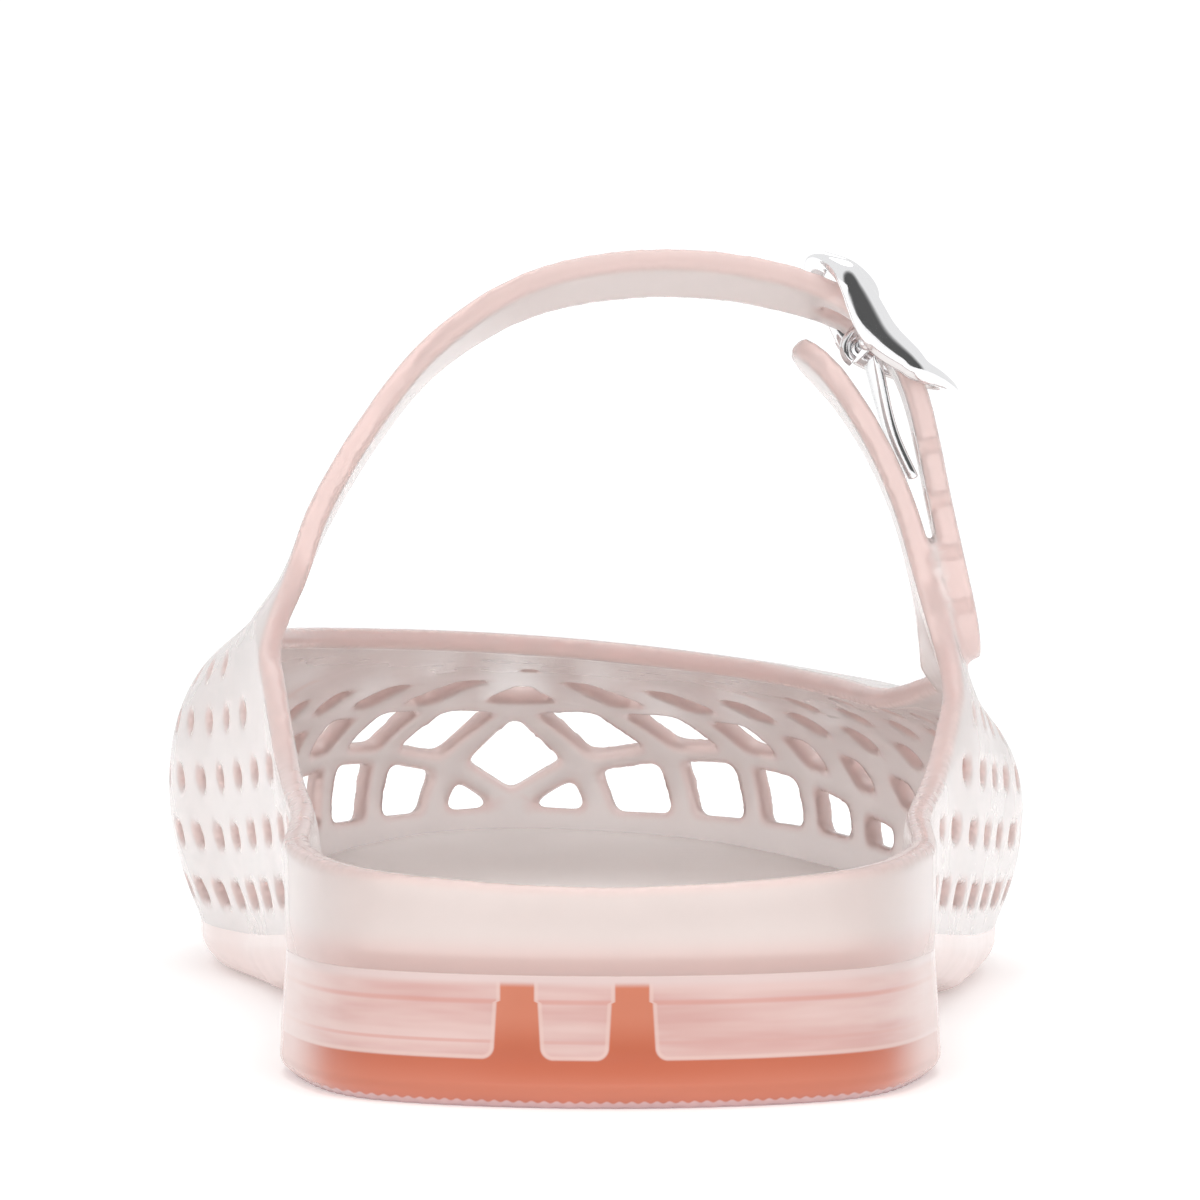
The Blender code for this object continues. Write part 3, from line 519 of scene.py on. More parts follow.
# Upper
# One moulding of clear pale-pink PVC: plain counter and collar, lattice sides and vamp, the instep strap on the
# inner side and the buckle post on the outer side. Every edge is rounded by the mould.
WALL = 2.5
BROW_REACH = 0.9
OUTER_PITCH = 12.3
INNER_PITCH = 11.0
RIB_LEAN = 1.3
LEAN_START = 0.5
RIB_HALF = 2.0
RAIL_HALF = 1.6
RIB_GROWTH = 0.7
RAIL_GROWTH = 0.6
SIDE_RAIL_HALF = 2.35
SIDE_RIB_HALF = 2.5
SIDE_FROM = (3.0, 6.5)
UPPER_SIDE_FROM = (1.6, 4.0)
DIAMOND_GROWTH = 1.0
RAIL_FIRST_AT_TOE = 3.6
RAIL_STEP_AT_TOE = 21.2
RAIL_FIRST_AT_SIDE = 7.5
RAIL_STEP_AT_SIDE = 6.5
RAIL_FALL = 2.0
RAIL_SWELL = 7.6
RAIL_SWELL_AT = 2.6
RAIL_SWELL_REACH = 2.6
ROW_ENDS = (19, 18, 17, 16, 15, 13)
SOLE_MARGIN = 3.0
MARGIN_SWELL = 1.8
MARGIN_SWELL_AT = 4.5
MARGIN_SWELL_REACH = 2.5
RIM_BAND = 3.5
SMALLEST_HOLE = 2.5
SHORTEST_SIDE = 0.7
HOLE_CORNER = 0.9
FLAT_HEIGHT = 40.0
SKIRT = 1.6
SKIRT_LEAN = 0.12
STRAP_Y = 110.7
STRAP_WIDTH = 10.0
STRAP_TILT = math.radians(18.0)
FLARE_WIDTH = 5.5
FLARE_HEIGHT = 9.0
BASE_BLEND = 14.0
STRAP_PATH = (
    (-34.2, 45.0), (-31.2, 51.7), (-26.1, 60.4), (-19.1, 69.0), (-9.0, 75.4), (3.2, 77.8), (15.4, 77.0),
    (21.0, 75.6), (25.5, 73.7), (28.8, 71.2), (31.1, 68.2), (32.6, 64.6), (33.8, 59.8), (35.0, 53.8),
    (36.5, 47.0), (37.8, 41.0), (38.5, 36.6),
)
POST_PATH = ((35.0, 40.0), (33.3, 46.0), (31.2, 53.0), (28.0, 60.0), (24.0, 66.0), (19.8, 70.4))
STRAP_HOLE_RADIUS = 1.15
STRAP_HOLE_PITCH = 5.8
STRAP_HOLE_START = 4.5
STRAP_HOLES = 4
PRONG_SLOT_LENGTH = 6.5
PRONG_SLOT_WIDTH = 2.4
PRONG_SLOT_AHEAD = 3.2
LEAST_CELL = 7.5
LEAST_CELL_SIDE = 1.0
BAND_POINTS = 240
BAND_STEP = 0.8
FACE_STEP = 0.4
ON_LINE = 1e-3
WALL_STRETCH = 1.9
PATTERN_STEP = 1.6
PATTERN_ROUNDS = 9
LAY_TURN = 0.79
GRID_TURN = Euler((0.41, 0.53, 0.29)).to_matrix().to_4x4()
VOXEL = 0.46
MELT_STEPS = 24
THINNING = 0.32
RIM_SHARES = (0.0, 0.25, 0.5, 0.75)
RIM_REACH = (1.0, 1.8)
BACK_SEAM = 0.1
MILKY_DEEP = (0.93, 0.885, 0.87, 1.0)
MILKY_PALE = (0.97, 0.945, 0.935, 1.0)
COUNTER_SHADE_PINK = (0.80, 0.69, 0.65, 1.0)
COUNTER_SHADE_FROM = (50.0, 5.0)
COUNTER_SHADE_SHARE = 0.6
BLUSH_PINK = (0.88, 0.61, 0.56, 1.0)
BLUSH_HEIGHT = (15.5, 12.0)
BLUSH_LENGTH = (60.0, 40.0)
BLUSH_SHARE = 0.7
EDGE_PINK = (0.94, 0.75, 0.71, 1.0)
EDGE_SHARE = 0.8
JELLY_TINT = (0.82, 0.36, 0.30, 1.0)
JELLY_DENSITY = 34.0

RIB_PLACE = dict(zip(RIBS, RIB_MARKS))
OUTER_BACK = float(RIB_PLACE["back"])
INNER_BACK = OUTER_BACK - LAST.length
POST_AT = (RIB_PLACE["outer_post_front"] + RIB_PLACE["outer_post_rear"]) / 2.0
STRAP_AT = (RIB_PLACE["inner_post_front"] + RIB_PLACE["inner_post_rear"]) / 2.0 - LAST.length
WALL_SHARES = np.linspace(0.0, 1.0, 25)


def wall_point(place, share):
    """A point of the upper's outer face: a share of the way from the sole edge to the top line."""
    rib = dict(zip(RIB_COLUMNS, np.moveaxis(LAST.at(place), -1, 0)))
    out_x, out_y = np.moveaxis(outward_at(place), -1, 0)
    foot = np.stack([rib["foot_x"], rib["foot_y"], seat_height(rib["foot_y"])], axis=-1)
    top = np.stack([rib["top_x"], rib["top_y"], rib["top_z"]], axis=-1)
    belly = foot + np.stack([out_x * rib["belly_out"], out_y * rib["belly_out"], rib["belly_up"]], axis=-1)
    over_foot = np.stack([foot[..., 0], foot[..., 1], top[..., 2]], axis=-1)
    brow = top + (over_foot - top) * BROW_REACH
    brow = brow + np.stack([out_x * rib["brow_out"], out_y * rib["brow_out"], rib["brow_up"]], axis=-1)
    share = np.asarray(share)[..., None]
    left = 1.0 - share
    lower = foot * left ** 3 + 3 * belly * left ** 2 * share
    return lower + 3 * brow * left * share ** 2 + top * share ** 3


def wall_lengths(place):
    """Length of wall from the sole edge to each of the wall shares."""
    return chord_marks(wall_point(place, WALL_SHARES))


class Band:
    """A strap that grows out of the top line at a place of the last and follows a path across the instep."""

    def __init__(self, place, path, facing, towards_toe):
        self.place = place
        self.facing = facing
        self.towards_toe = towards_toe
        top = LAST.at(place)[6:9]
        rough = np.array([(top[0] - np.sign(top[0]) * WALL / 2.0, top[2]), *path])
        smooth = Curve(rough, chord_marks(rough))
        self.fine = smooth.at(np.linspace(0.0, smooth.length, BAND_POINTS))
        self.curve = Curve(self.fine, chord_marks(self.fine))
        self.length = self.curve.length
        ahead = LAST.at(place + 1.0)[6:9] - LAST.at(place - 1.0)[6:9]
        self.spread = float(np.linalg.norm(ahead)) / 2.0

    def nearest(self, point):
        return float(self.curve.knots[np.argmin(np.linalg.norm(self.fine - np.array(point), axis=1))])

    def frame(self, along):
        """Middle, and the directions along, across and out of the band, at a length along it."""
        x, z = np.moveaxis(self.curve.at(along), -1, 0)
        ahead = self.curve.at(along + BAND_STEP) - self.curve.at(along - BAND_STEP)
        run = unit(np.stack([ahead[..., 0], 0.0 * x, ahead[..., 1]], axis=-1))
        tilt = STRAP_TILT * run[..., 0] ** 2
        side = np.stack([0.0 * x, np.cos(tilt), -np.sin(tilt)], axis=-1)
        side = unit(side - run * np.sum(side * run, axis=-1, keepdims=True))
        middle = np.stack([x, 0.0 * x + STRAP_Y, z], axis=-1)
        return middle, run, side, np.cross(run, side) * self.facing

    def point(self, along, across=0.0, lift=0.0, ahead=0.0):
        """A point by its length along the band, offset across, lift off the outer face and step ahead."""
        middle, run, side, out = self.frame(along)
        return middle + run * ahead + side * np.asarray(across)[..., None] + out * (WALL / 2.0 + lift)

    def wrapped(self, place, along):
        """The outer face above a place of the top line, blended into the wall at the base."""
        across = (place - self.place) * self.spread * self.towards_toe
        settled = 1.0 - ease(along, 0.0, BASE_BLEND)[..., None]
        return self.point(along, across) + (LAST.at(place)[..., 6:9] - self.point(0.0, across)) * settled


STRAP = Band(STRAP_AT, STRAP_PATH, 1.0, 1.0)
POST = Band(POST_AT, POST_PATH, -1.0, -1.0)
MIDDLE_BAR_AT = STRAP.nearest((28.3, 71.7))
FOOT_BAR_AT = STRAP.nearest((32.8, 63.6))


def upper_point(place, height):
    """Wraps points of the flat pattern round the last, onto the outer face of the upper."""
    above = np.maximum(height - FLAT_HEIGHT, 0.0)
    below = np.minimum(height, 0.0)
    on_wall = wall_point(place, np.clip(height / FLAT_HEIGHT, 0.0, 1.0))
    on_wall[:, :2] += outward_at(place) * below[:, None] * SKIRT_LEAN
    on_wall[:, 2] += below
    on_band = np.where((place < 0.0)[:, None], STRAP.wrapped(place, above), POST.wrapped(place, above))
    return np.where((above > 0.0)[:, None], on_band, on_wall)


def upper_out(place, height):
    """The directions out of the upper at points of the flat pattern."""
    low = np.where(height <= FLAT_HEIGHT, -SKIRT, FLAT_HEIGHT + TOUCHING)
    high = np.where(height <= FLAT_HEIGHT, FLAT_HEIGHT, np.inf)
    along = upper_point(place + FACE_STEP, height) - upper_point(place - FACE_STEP, height)
    above = upper_point(place, np.minimum(height + FACE_STEP, high))
    below = upper_point(place, np.maximum(height - FACE_STEP, low))
    return unit(np.cross(above - below, along))


def on_last(spots):
    """Points of the upper for spots of the flat pattern, whose third number is a depth in the wall."""
    place, height, depth = np.array(spots).T
    height = np.where(abs(height - FLAT_HEIGHT) < ON_LINE, FLAT_HEIGHT, height)
    return upper_point(place, height) + upper_out(place, height) * depth[:, None]


def crossing(rail, rib, pitch):
    """Where a rail crosses a rib of one side: along the sole edge from the toe, and up the wall."""
    if rail < 0:
        swell = math.exp(-((rib - MARGIN_SWELL_AT) / MARGIN_SWELL_REACH) ** 2)
        return pitch * rib, SOLE_MARGIN + MARGIN_SWELL * swell
    steps = rib - rail
    along = pitch * rib * (1.0 - ((rail + LEAN_START) / (rib + LEAN_START)) ** RIB_LEAN)
    at_toe = RAIL_FIRST_AT_TOE + RAIL_STEP_AT_TOE * rail
    at_side = RAIL_FIRST_AT_SIDE + RAIL_STEP_AT_SIDE * rail
    up = at_side + (at_toe - at_side) * math.exp(-steps / RAIL_FALL)
    swell = math.exp(-((steps - RAIL_SWELL_AT) / RAIL_SWELL_REACH) ** 2) if steps else 0.0
    return along, up + RAIL_SWELL * swell


def polygon_area(corners):
    ahead = np.roll(corners, -1, axis=0)
    return 0.5 * float(np.sum(corners[:, 0] * ahead[:, 1] - ahead[:, 0] * corners[:, 1]))


def shrink(corners, insets):
    """Moves each side of a polygon that turns left inwards by its own inset."""
    lines = []
    for i, start in enumerate(corners):
        run = corners[(i + 1) % len(corners)] - start
        run = run / np.linalg.norm(run)
        lines.append((start + np.array([-run[1], run[0]]) * insets[i], run))
    moved = []
    for i in range(len(lines)):
        (p, r), (q, s) = lines[i - 1], lines[i]
        cross = r[0] * s[1] - r[1] * s[0]
        ahead = ((q - p)[0] * s[1] - (q - p)[1] * s[0]) / cross
        moved.append(p + r * ahead)
    return np.array(moved)


def lattice_hole(nodes, insets):
    """One hole of the lattice as a polygon on the flat pattern, or None where the strips leave no room."""
    corners = np.array(nodes, float)
    middle = corners.mean(axis=0)
    share = float(np.interp(middle[1], wall_lengths(middle[0]), WALL_SHARES))
    ahead = wall_point(middle[0] + 1.0, share) - wall_point(middle[0] - 1.0, share)
    spread = float(np.linalg.norm(ahead)) / 2.0
    corners[:, 0] *= spread
    if polygon_area(corners) < 0.0:
        corners = np.roll(corners[::-1], 1, axis=0)
        insets = insets[::-1]
    lengths = [wall_lengths(along / spread) for along in corners[:, 0]]
    ceilings = np.array([marks[-1] - RIM_BAND + RAIL_HALF for marks in lengths])
    corners[:, 1] = np.minimum(corners[:, 1], ceilings)
    sides = np.linalg.norm(np.roll(corners, -1, axis=0) - corners, axis=1)
    if polygon_area(corners) < LEAST_CELL or sides.min() < LEAST_CELL_SIDE:
        return None
    hole = shrink(corners, insets)
    before = np.roll(corners, -1, axis=0) - corners
    after = np.roll(hole, -1, axis=0) - hole
    if (before * after).sum(axis=1).min() <= 0.0 or polygon_area(hole) < SMALLEST_HOLE:
        return None
    if np.linalg.norm(after, axis=1).min() < SHORTEST_SIDE:
        return None
    flat = []
    for along, up in rounded(hole, HOLE_CORNER, 3):
        share = float(np.interp(up, wall_lengths(along / spread), WALL_SHARES))
        flat.append((along / spread, share * FLAT_HEIGHT))
    return flat


def strips_round(rail, rib):
    """Half widths of the rails and ribs round a hole: wider up the vamp and along the sides."""
    higher = min(max(rail, 0), 2)
    side = float(ease(rib - max(rail, 0), *(SIDE_FROM if rail < 0 else UPPER_SIDE_FROM)))
    rail_half = (RAIL_HALF + RAIL_GROWTH * higher) * (1.0 - side) + SIDE_RAIL_HALF * side
    return rail_half, (RIB_HALF + RIB_GROWTH * higher) * (1.0 - side) + SIDE_RIB_HALF * side


def lattice_holes():
    """Every hole of the lattice: diamonds up the middle of the vamp, then the rows of each side."""
    holes = []
    for rail in range(len(ROW_ENDS) - 1):
        outer, inner = [crossing(rail, rail + 1, pitch) for pitch in (OUTER_PITCH, -INNER_PITCH)]
        low, high = [crossing(level, level, OUTER_PITCH) for level in (rail, rail + 1)]
        strip = strips_round(rail, rail)[1] + DIAMOND_GROWTH * min(rail, 1)
        holes.append(lattice_hole([low, outer, high, inner], [strip] * 4))
    for pitch in (OUTER_PITCH, -INNER_PITCH):
        for rail, end in enumerate(ROW_ENDS, start=-1):
            for rib in range(rail + 1, end):
                rail_half, rib_half = strips_round(rail, rib)
                foot_rail = max(rail, 0) if rib == 0 else rail
                nodes = [crossing(foot_rail, rib, pitch), crossing(rail, rib + 1, pitch)]
                nodes.append(crossing(rail + 1, rib + 1, pitch))
                insets = [rail_half if rail >= 0 else 0.0, rib_half, rail_half]
                if rail + 1 <= rib and rib > 0:
                    nodes.append(crossing(rail + 1, rib, pitch))
                    insets.append(rib_half)
                holes.append(lattice_hole(nodes, insets))
    return [hole for hole in holes if hole]


def band_outline(band):
    """A strap's edge on the flat pattern: flared where it leaves the top line and round at its tip."""
    half = STRAP_WIDTH / 2.0
    edge = [(half + FLARE_WIDTH * (1.0 - u) ** 2, FLARE_HEIGHT * u) for u in np.linspace(0.0, 1.0, 9)]
    for turn in np.linspace(0.0, math.pi / 2, 9):
        edge.append((half * math.cos(turn), band.length - half + half * math.sin(turn)))
    rising = [(band.place - x / band.spread, FLAT_HEIGHT + up) for x, up in edge]
    falling = [(band.place + x / band.spread, FLAT_HEIGHT + up) for x, up in edge[:-1]]
    return rising + falling[::-1]


def strap_openings():
    """The prong's slot and the round holes of the strap's free end, on the flat pattern."""
    middle = MIDDLE_BAR_AT - PRONG_SLOT_AHEAD
    wide, long = PRONG_SLOT_WIDTH / 2.0, PRONG_SLOT_LENGTH / 2.0
    slot = [np.array(c) for c in ((wide, -long), (wide, long), (-wide, long), (-wide, -long))]
    shapes = [[(x, middle + up) for x, up in rounded(slot, wide, 4)]]
    for k in range(STRAP_HOLES):
        middle = FOOT_BAR_AT + STRAP_HOLE_START + k * STRAP_HOLE_PITCH
        turns = np.linspace(0.0, 2.0 * math.pi, 20, endpoint=False)
        shapes.append([(STRAP_HOLE_RADIUS * math.cos(t), middle + STRAP_HOLE_RADIUS * math.sin(t)) for t in turns])
    return [[(STRAP_AT + x / STRAP.spread, FLAT_HEIGHT + up) for x, up in shape] for shape in shapes]


def flat_length(edge):
    """Length of a pattern edge, with the wall's height counted at its fullest."""
    across = edge.verts[0].co.x - edge.verts[1].co.x
    up = edge.verts[0].co.y - edge.verts[1].co.y
    stretch = WALL_STRETCH if max(v.co.y for v in edge.verts) <= FLAT_HEIGHT + ON_LINE else 1.0
    return math.hypot(across, up * stretch)


bands = band_outline(STRAP) + band_outline(POST)
top_line = [(INNER_BACK, FLAT_HEIGHT), *bands, (OUTER_BACK, FLAT_HEIGHT)]
pattern = bmesh.new()
outlines = []
for polygon in [[(OUTER_BACK, -SKIRT), (INNER_BACK, -SKIRT), *top_line], *lattice_holes(), *strap_openings()]:
    points = [pattern.verts.new((along, up, 0.0)) for along, up in polygon]
    outlines += [pattern.edges.new((points[i - 1], points[i])) for i in range(len(points))]
bmesh.ops.rotate(pattern, verts=pattern.verts, cent=(0.0, 0.0, 0.0), matrix=Matrix.Rotation(LAY_TURN, 3, "Z"))
bmesh.ops.triangle_fill(pattern, edges=outlines, use_beauty=True, normal=(0.0, 0.0, 1.0))
bmesh.ops.rotate(pattern, verts=pattern.verts, cent=(0.0, 0.0, 0.0), matrix=Matrix.Rotation(-LAY_TURN, 3, "Z"))
bmesh.ops.bisect_plane(
    pattern, geom=[*pattern.verts, *pattern.edges, *pattern.faces], dist=1e-4,
    plane_co=(0.0, FLAT_HEIGHT, 0.0), plane_no=(0.0, 1.0, 0.0),
)
bmesh.ops.triangulate(pattern, faces=pattern.faces)
for _ in range(PATTERN_ROUNDS):
    long_edges = [edge for edge in pattern.edges if flat_length(edge) > PATTERN_STEP]
    if not long_edges:
        break
    bmesh.ops.subdivide_edges(pattern, edges=long_edges, cuts=1)
    bmesh.ops.triangulate(pattern, faces=[face for face in pattern.faces if len(face.verts) > 3])
rim_spots = []
for edge in pattern.edges:
    if edge.is_boundary:
        start, end = [vert.co for vert in edge.verts]
        rim_spots += [start.lerp(end, share) for share in RIM_SHARES]
slab = bmesh.ops.extrude_face_region(pattern, geom=pattern.faces[:], use_keep_orig=True)["geom"]
under = [piece for piece in slab if isinstance(piece, bmesh.types.BMVert)]
bmesh.ops.translate(pattern, verts=under, vec=(0.0, 0.0, -WALL))
back_ends = []
for face in pattern.faces:
    if all(min(v.co.x - INNER_BACK, OUTER_BACK - v.co.x) < ON_LINE for v in face.verts):
        back_ends.append(face)
bmesh.ops.delete(pattern, geom=back_ends, context="FACES_ONLY")
for vert, point in zip(pattern.verts, on_last([vert.co for vert in pattern.verts])):
    vert.co = to_metres(point)
bmesh.ops.remove_doubles(pattern, verts=pattern.verts, dist=1e-5)
bmesh.ops.recalc_face_normals(pattern, faces=pattern.faces)
bmesh.ops.transform(pattern, matrix=GRID_TURN, verts=pattern.verts)
shell = add_piece("upper_shell", pattern)
skin = shell.modifiers.new("skin", "REMESH")
skin.mode = "VOXEL"
skin.voxel_size = VOXEL * MM
melt = shell.modifiers.new("melt", "SMOOTH")
melt.factor = 0.5
melt.iterations = MELT_STEPS
thin = shell.modifiers.new("thin", "DECIMATE")
thin.ratio = THINNING
graph = bpy.context.evaluated_depsgraph_get()
upper = add_piece("upper_moulding", bpy.data.meshes.new_from_object(shell.evaluated_get(graph)))
upper.data.transform(GRID_TURN.inverted())
upper.data.validate()
bpy.data.objects.remove(shell)
free_spots = [
    (along, up, -WALL / 2.0) for along, up, _ in rim_spots
    if up > 0.0 and INNER_BACK + BACK_SEAM < along < OUTER_BACK - BACK_SEAM
]
rim_tree = KDTree(len(free_spots))
for i, point in enumerate(on_last(free_spots)):
    rim_tree.insert(to_metres(point), i)
rim_tree.balance()
rim_gaps = np.array([rim_tree.find(vert.co)[2] for vert in upper.data.vertices]) / MM
rim_values = upper.data.attributes.new("rim", "FLOAT", "POINT")
rim_values.data.foreach_set("value", 1.0 - ease(rim_gaps, *RIM_REACH))

jelly = Finish("upper_jelly")
x, y, z = jelly.millimetres()
cloud = jelly.noise(55.0)
milky = jelly.blend(cloud, MILKY_DEEP, MILKY_PALE)
foot_blush = z.step(*BLUSH_HEIGHT) * y.step(*BLUSH_LENGTH) * BLUSH_SHARE
# Painted shade: the counter darkened and made pinker towards the back.
counter = jelly.blend(y.step(*COUNTER_SHADE_FROM) * COUNTER_SHADE_SHARE, milky, COUNTER_SHADE_PINK)
body = jelly.blend(foot_blush, counter, BLUSH_PINK)
# Painted light: pinker along every moulded edge, where light runs edge-on through the tinted plastic.
painted_edge_light = jelly.node("ShaderNodeAttribute", {"attribute_name": "rim"}, {}, "Fac")
jelly.set(Base_Color=jelly.blend(painted_edge_light * EDGE_SHARE, body, EDGE_PINK))
jelly.set(Transmission_Weight=0.55, IOR=PVC_IOR, Roughness=0.14 + jelly.noise(160.0) * 0.12)
jelly.set(Normal=jelly.bump(jelly.noise(110.0, 1.0), 0.06, 0.0003))
jelly.absorb(JELLY_TINT, JELLY_DENSITY)
settle(upper, jelly.material, "upper")

# Buckle frame
# A cast and chromed frame that rides on the strap: two arched side rails, a top and a foot bar over the strap and
# a middle bar under it.
SEAM = 0.3
FRAME_WIRE = 1.05
FRAME_HALF_WIDTH = 6.7
FRAME_CORNER = 1.4
FRAME_TOP_AT = STRAP.nearest((22.4, 75.2))
FRAME_FOOT_AT = STRAP.nearest((32.2, 65.6))
BAR_RADIUS = 0.85
BAR_LIFT = FRAME_WIRE + SEAM
MIDDLE_BAR_LIFT = -WALL - SEAM - BAR_RADIUS
RAIL_DIP = -2.3
RAIL_FOOT_LIFT = 0.2
RAIL_WIDTH = 0.85
RAIL_HEIGHT = 2.0
RAIL_END = 1.05
RAIL_POINTS = 11
TOP_BAR = (1.1, 0.85)
FOOT_BAR = (1.1, 0.9)
FRAME_POINTS = 160
MIDDLE_BAR_POINTS = 8
CHROME_GREY = (0.86, 0.86, 0.87, 1.0)


def wire_loops(rows, closed, lift, sides=20):
    """Rings of an oval section along rows of x, y, z, half width and half height, with its height along the lift."""
    rings = []
    for i, row in enumerate(rows):
        before = rows[i - 1] if closed or i else row
        after = rows[(i + 1) % len(rows)] if closed or i + 1 < len(rows) else row
        run = unit((after - before)[:3])
        up = unit(lift - run * lift.dot(run))
        across = np.cross(run, up)
        turns = np.linspace(0.0, 2.0 * math.pi, sides, endpoint=False)
        rings.append([row[:3] + across * row[3] * math.cos(t) + up * row[4] * math.sin(t) for t in turns])
    return rings


def swept(rows, closed, lift):
    """A bar of oval section along rows, closed into a ring or capped at both ends."""
    bm = bmesh.new()
    first, last = stack(bm, wire_loops(rows, closed, lift))
    if closed:
        bmesh.ops.bridge_loops(bm, edges=first + last)
    else:
        for end in (first, last):
            bmesh.ops.triangle_fill(bm, edges=end, use_beauty=True)
    bmesh.ops.recalc_face_normals(bm, faces=bm.faces)
    return bm


def smooth_through(points, count, closed):
    """Points evenly along a smooth curve through a few points."""
    rows = [*points, points[0]] if closed else list(points)
    curve = Curve(rows, chord_marks(rows), closed=closed)
    return [curve.at(mark) for mark in np.linspace(0.0, curve.length, count, endpoint=not closed)]


lifts = Curve([[BAR_LIFT], [RAIL_DIP], [RAIL_FOOT_LIFT]], [FRAME_TOP_AT, MIDDLE_BAR_AT, FRAME_FOOT_AT])
rail_marks = np.linspace(FRAME_TOP_AT, FRAME_FOOT_AT, RAIL_POINTS)
near_corner = FRAME_HALF_WIDTH - FRAME_CORNER
frame_lift = STRAP.frame(MIDDLE_BAR_AT)[3]
loop = []
for hand, places, bar in ((-1.0, rail_marks, FOOT_BAR), (1.0, rail_marks[::-1], TOP_BAR)):
    for at in places[1:-1]:
        leaf = math.sin(math.pi * (at - FRAME_TOP_AT) / (FRAME_FOOT_AT - FRAME_TOP_AT))
        height = RAIL_END + (RAIL_HEIGHT - RAIL_END) * leaf
        loop.append([*STRAP.point(at, hand * FRAME_HALF_WIDTH, float(lifts.at(at)[0])), RAIL_WIDTH, height])
    for side in (1.0, -1.0):
        loop.append([*STRAP.point(places[-1], side * hand * near_corner, bar[1] + SEAM), *bar])
frame_bar = swept(smooth_through(loop, FRAME_POINTS, True), True, frame_lift)
bar_ends = [
    [*STRAP.point(MIDDLE_BAR_AT, side * FRAME_HALF_WIDTH, MIDDLE_BAR_LIFT), BAR_RADIUS, BAR_RADIUS]
    for side in (-1.0, 1.0)
]
middle_bar = swept(smooth_through(bar_ends, MIDDLE_BAR_POINTS, False), False, frame_lift)
bar_mesh = bpy.data.meshes.new("middle_bar")
middle_bar.to_mesh(bar_mesh)
middle_bar.free()
frame_bar.from_mesh(bar_mesh)
bpy.data.meshes.remove(bar_mesh)
buckle = add_piece("buckle_frame_cast", frame_bar)

chrome = Finish("buckle_chrome")
smudge = chrome.noise(400.0, 3.0)
chrome.set(Base_Color=CHROME_GREY, Metallic=1.0, Roughness=0.04 + smudge * 0.06)
chrome.set(Normal=chrome.bump(chrome.noise(900.0, 2.0), 0.03, 0.0001))
settle(buckle, chrome.material, "buckle_frame")

# Buckle prong
# A round chromed wire, bent round the middle bar and lying on the top bar.
PRONG_WIRE = 0.65
PRONG_POINTS = 60
PRONG_HOOK_TURNS = np.linspace(0.2, -math.pi / 2, 6)
PRONG_RISE = ((-0.6, 0.2), (1.5, 1.2))
PRONG_TIP = (2.0, -1.0)
hook = BAR_RADIUS + SEAM / 2.0 + PRONG_WIRE
tip_lift = BAR_LIFT + FRAME_WIRE + SEAM + PRONG_WIRE
bends = [
    STRAP.point(MIDDLE_BAR_AT, 0.0, MIDDLE_BAR_LIFT - hook * math.cos(turn), hook * math.sin(turn))
    for turn in PRONG_HOOK_TURNS
]
bends += [STRAP.point(MIDDLE_BAR_AT, 0.0, lift, -hook - back) for lift, back in PRONG_RISE]
bends += [STRAP.point(FRAME_TOP_AT + ahead, 0.0, tip_lift) for ahead in PRONG_TIP]
bends = [[*point, PRONG_WIRE, PRONG_WIRE] for point in bends]
wire = swept(smooth_through(bends, PRONG_POINTS, False), False, np.array([0.0, 1.0, 0.0]))
prong = add_piece("buckle_prong_wire", wire)
settle(prong, chrome.material, "buckle_prong")

# Buckle chape
# A bent metal plate that holds the middle bar to the post.
CHAPE_WIDTH = 8.0
CHAPE_THICKNESS = 0.9
CHAPE_SEAT_LENGTH = 4.5
CHAPE_CLEARANCE = 0.4
CHAPE_SEAT = (28.5, 59.2)
CHAPE_EDGE = 0.25
CHAPE_POINTS = 14
seat_at = POST.nearest(CHAPE_SEAT)
seat_end = seat_at - CHAPE_SEAT_LENGTH
rise = CHAPE_CLEARANCE + CHAPE_THICKNESS / 2.0
bar_side = BAR_RADIUS + SEAM + CHAPE_THICKNESS / 2.0
half = CHAPE_WIDTH / 2.0
plate = bmesh.new()
rows = []
for hand in (-1.0, 1.0):
    rows.append([
        STRAP.point(MIDDLE_BAR_AT, hand * half, MIDDLE_BAR_LIFT, bar_side),
        POST.point(seat_at, hand * half, rise),
        POST.point(seat_end, hand * half, rise),
    ])
long_sides = []
for row in rows:
    verts = [plate.verts.new(to_metres(point)) for point in smooth_through(row, CHAPE_POINTS, False)]
    long_sides += [plate.edges.new(pair) for pair in zip(verts, verts[1:])]
bmesh.ops.bridge_loops(plate, edges=long_sides)
bmesh.ops.recalc_face_normals(plate, faces=plate.faces)
chape = add_piece("buckle_chape_plate", plate)
thick = chape.modifiers.new("plate", "SOLIDIFY")
thick.thickness = CHAPE_THICKNESS * MM
thick.offset = 0.0
soft = chape.modifiers.new("edges", "BEVEL")
soft.width = CHAPE_EDGE * MM
soft.segments = 3
settle(chape, chrome.material, "buckle_chape")

# Floor
# A plain pale sweep that the sandal stands on.
FLOOR_HALF = 6.0
FLOOR_PALE = (0.92, 0.92, 0.92, 1.0)
FLOOR_GLOW = 0.22
WHITE = (1.0, 1.0, 1.0, 1.0)

ground = bmesh.new()
bmesh.ops.create_grid(ground, x_segments=2, y_segments=2, size=FLOOR_HALF)
floor = add_piece("floor", ground)
paper = Finish("floor_paper")
paper.set(Base_Color=FLOOR_PALE, Roughness=0.7)
paper.set(Emission_Color=WHITE, Emission_Strength=FLOOR_GLOW)
floor.data.materials.append(paper.material)

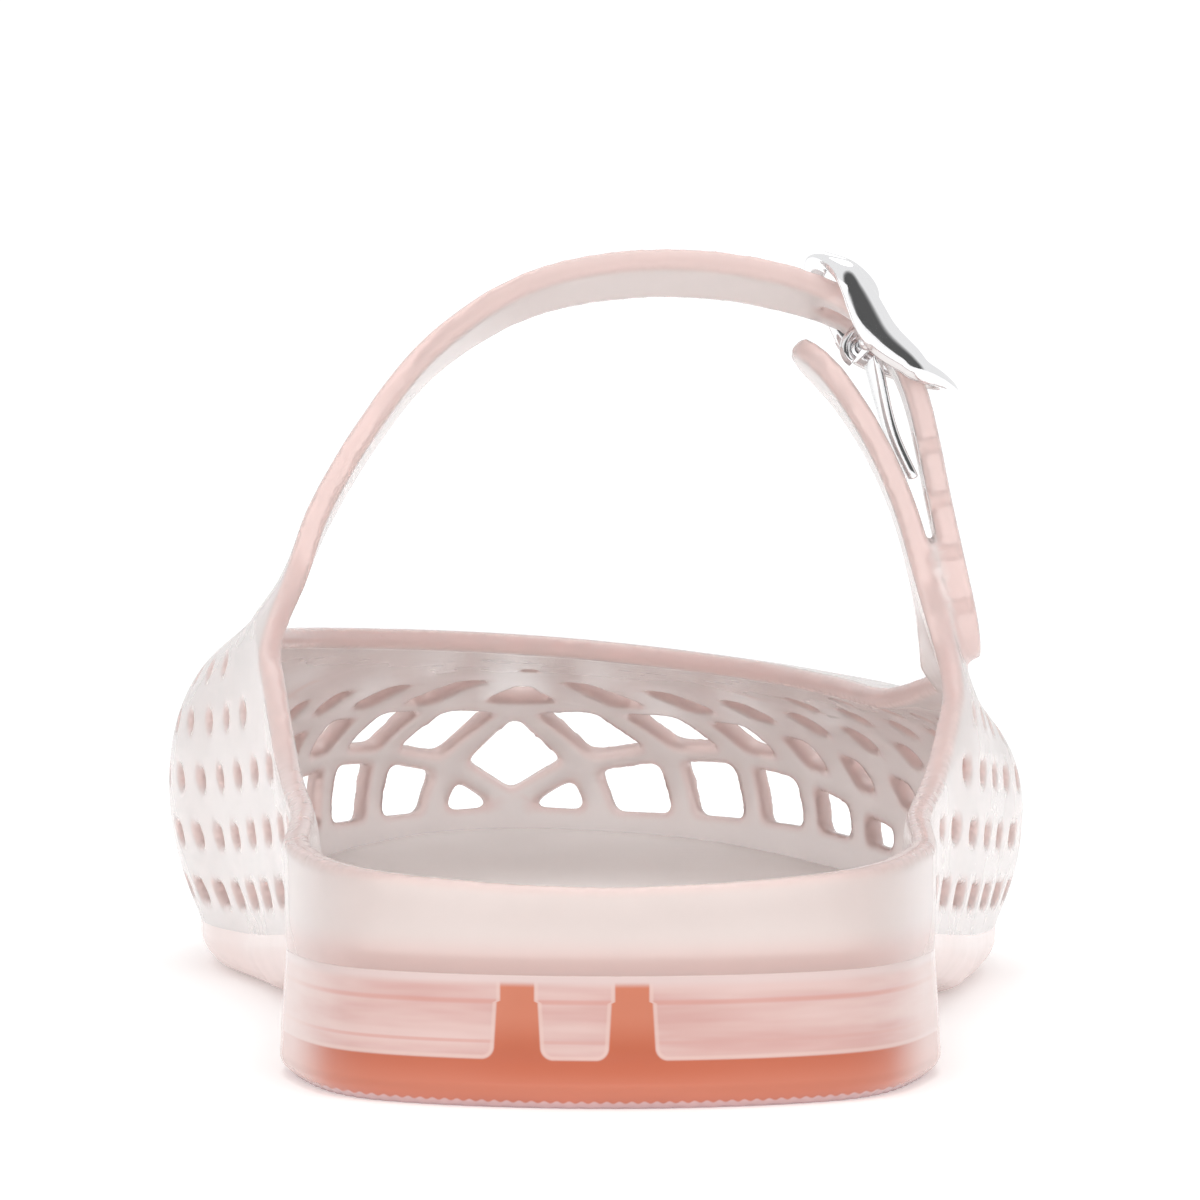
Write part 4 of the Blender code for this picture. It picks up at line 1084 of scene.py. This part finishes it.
# Light and camera
# Soft light, strongest from behind the camera, where a mirrored ray sees a dark patch instead, so that the chrome
# has a dark side to reflect, and a broad lamp above.
ROOM_TONES = (0.1, -0.6, 0.5, 1.6)
MIRRORED_TONES = (-0.70, -0.90, 0.92, 0.10)
BACKDROP_LIGHT = 1.1
LAMP_SIZE = 1.2
LAMP_POWER = 5.0
LAMP_AT = (0.0, 0.1, 1.3)
FOCAL_LENGTH = 171.6
SENSOR_WIDTH = 36.0
FOCAL_PIXELS = 5720.0
AIM_DOWN = 84.0
AIM_LEFT = 10.0
CAMERA_AT = (0.0, -0.530, 0.052)

world = bpy.data.worlds.new("studio")
bpy.context.scene.world = world
world.use_nodes = True
room = world.node_tree
glow = room.nodes["Background"]
backdrop = room.nodes.new("ShaderNodeBackground")
backdrop.inputs["Color"].default_value = WHITE
backdrop.inputs["Strength"].default_value = BACKDROP_LIGHT
towards = room.nodes.new("ShaderNodeTexCoord")
parts = room.nodes.new("ShaderNodeSeparateXYZ")
room.links.new(towards.outputs["Generated"], parts.inputs[0])
tones = []
for start, end, away, behind_camera in (ROOM_TONES, MIRRORED_TONES):
    reach = room.nodes.new("ShaderNodeMapRange")
    reach.interpolation_type = "SMOOTHSTEP"
    reach.inputs["From Min"].default_value = start
    reach.inputs["From Max"].default_value = end
    tone = room.nodes.new("ShaderNodeMix")
    tone.data_type = "RGBA"
    tone.inputs[6].default_value = (away, away, away, 1.0)
    tone.inputs[7].default_value = (behind_camera, behind_camera, behind_camera, 1.0)
    room.links.new(parts.outputs["Y"], reach.inputs["Value"])
    room.links.new(reach.outputs[0], tone.inputs[0])
    tones.append(tone)
path = room.nodes.new("ShaderNodeLightPath")
mirrored = room.nodes.new("ShaderNodeMix")
mirrored.data_type = "RGBA"
either = room.nodes.new("ShaderNodeMixShader")
for source, target in (
    (path.outputs["Is Glossy Ray"], mirrored.inputs[0]), (tones[0].outputs[2], mirrored.inputs[6]),
    (tones[1].outputs[2], mirrored.inputs[7]), (mirrored.outputs[2], glow.inputs["Color"]),
    (path.outputs["Is Camera Ray"], either.inputs[0]), (glow.outputs[0], either.inputs[1]),
    (backdrop.outputs[0], either.inputs[2]), (either.outputs[0], room.nodes["World Output"].inputs["Surface"]),
):
    room.links.new(source, target)
lamp = bpy.data.lights.new("overhead", "AREA")
lamp.shape = "DISK"
lamp.size = LAMP_SIZE
lamp.energy = LAMP_POWER
overhead = bpy.data.objects.new("overhead", lamp)
overhead.location = LAMP_AT
bpy.context.scene.collection.objects.link(overhead)
lens = bpy.data.cameras.new("camera")
lens.lens = FOCAL_LENGTH
lens.sensor_width = SENSOR_WIDTH
camera = bpy.data.objects.new("camera", lens)
camera.location = CAMERA_AT
pitch = math.radians(90.0) - math.atan(AIM_DOWN / FOCAL_PIXELS)
camera.rotation_euler = (pitch, 0.0, math.atan(AIM_LEFT / FOCAL_PIXELS))
bpy.context.scene.collection.objects.link(camera)
bpy.context.scene.camera = camera
bpy.context.scene.view_settings.view_transform = "Standard"
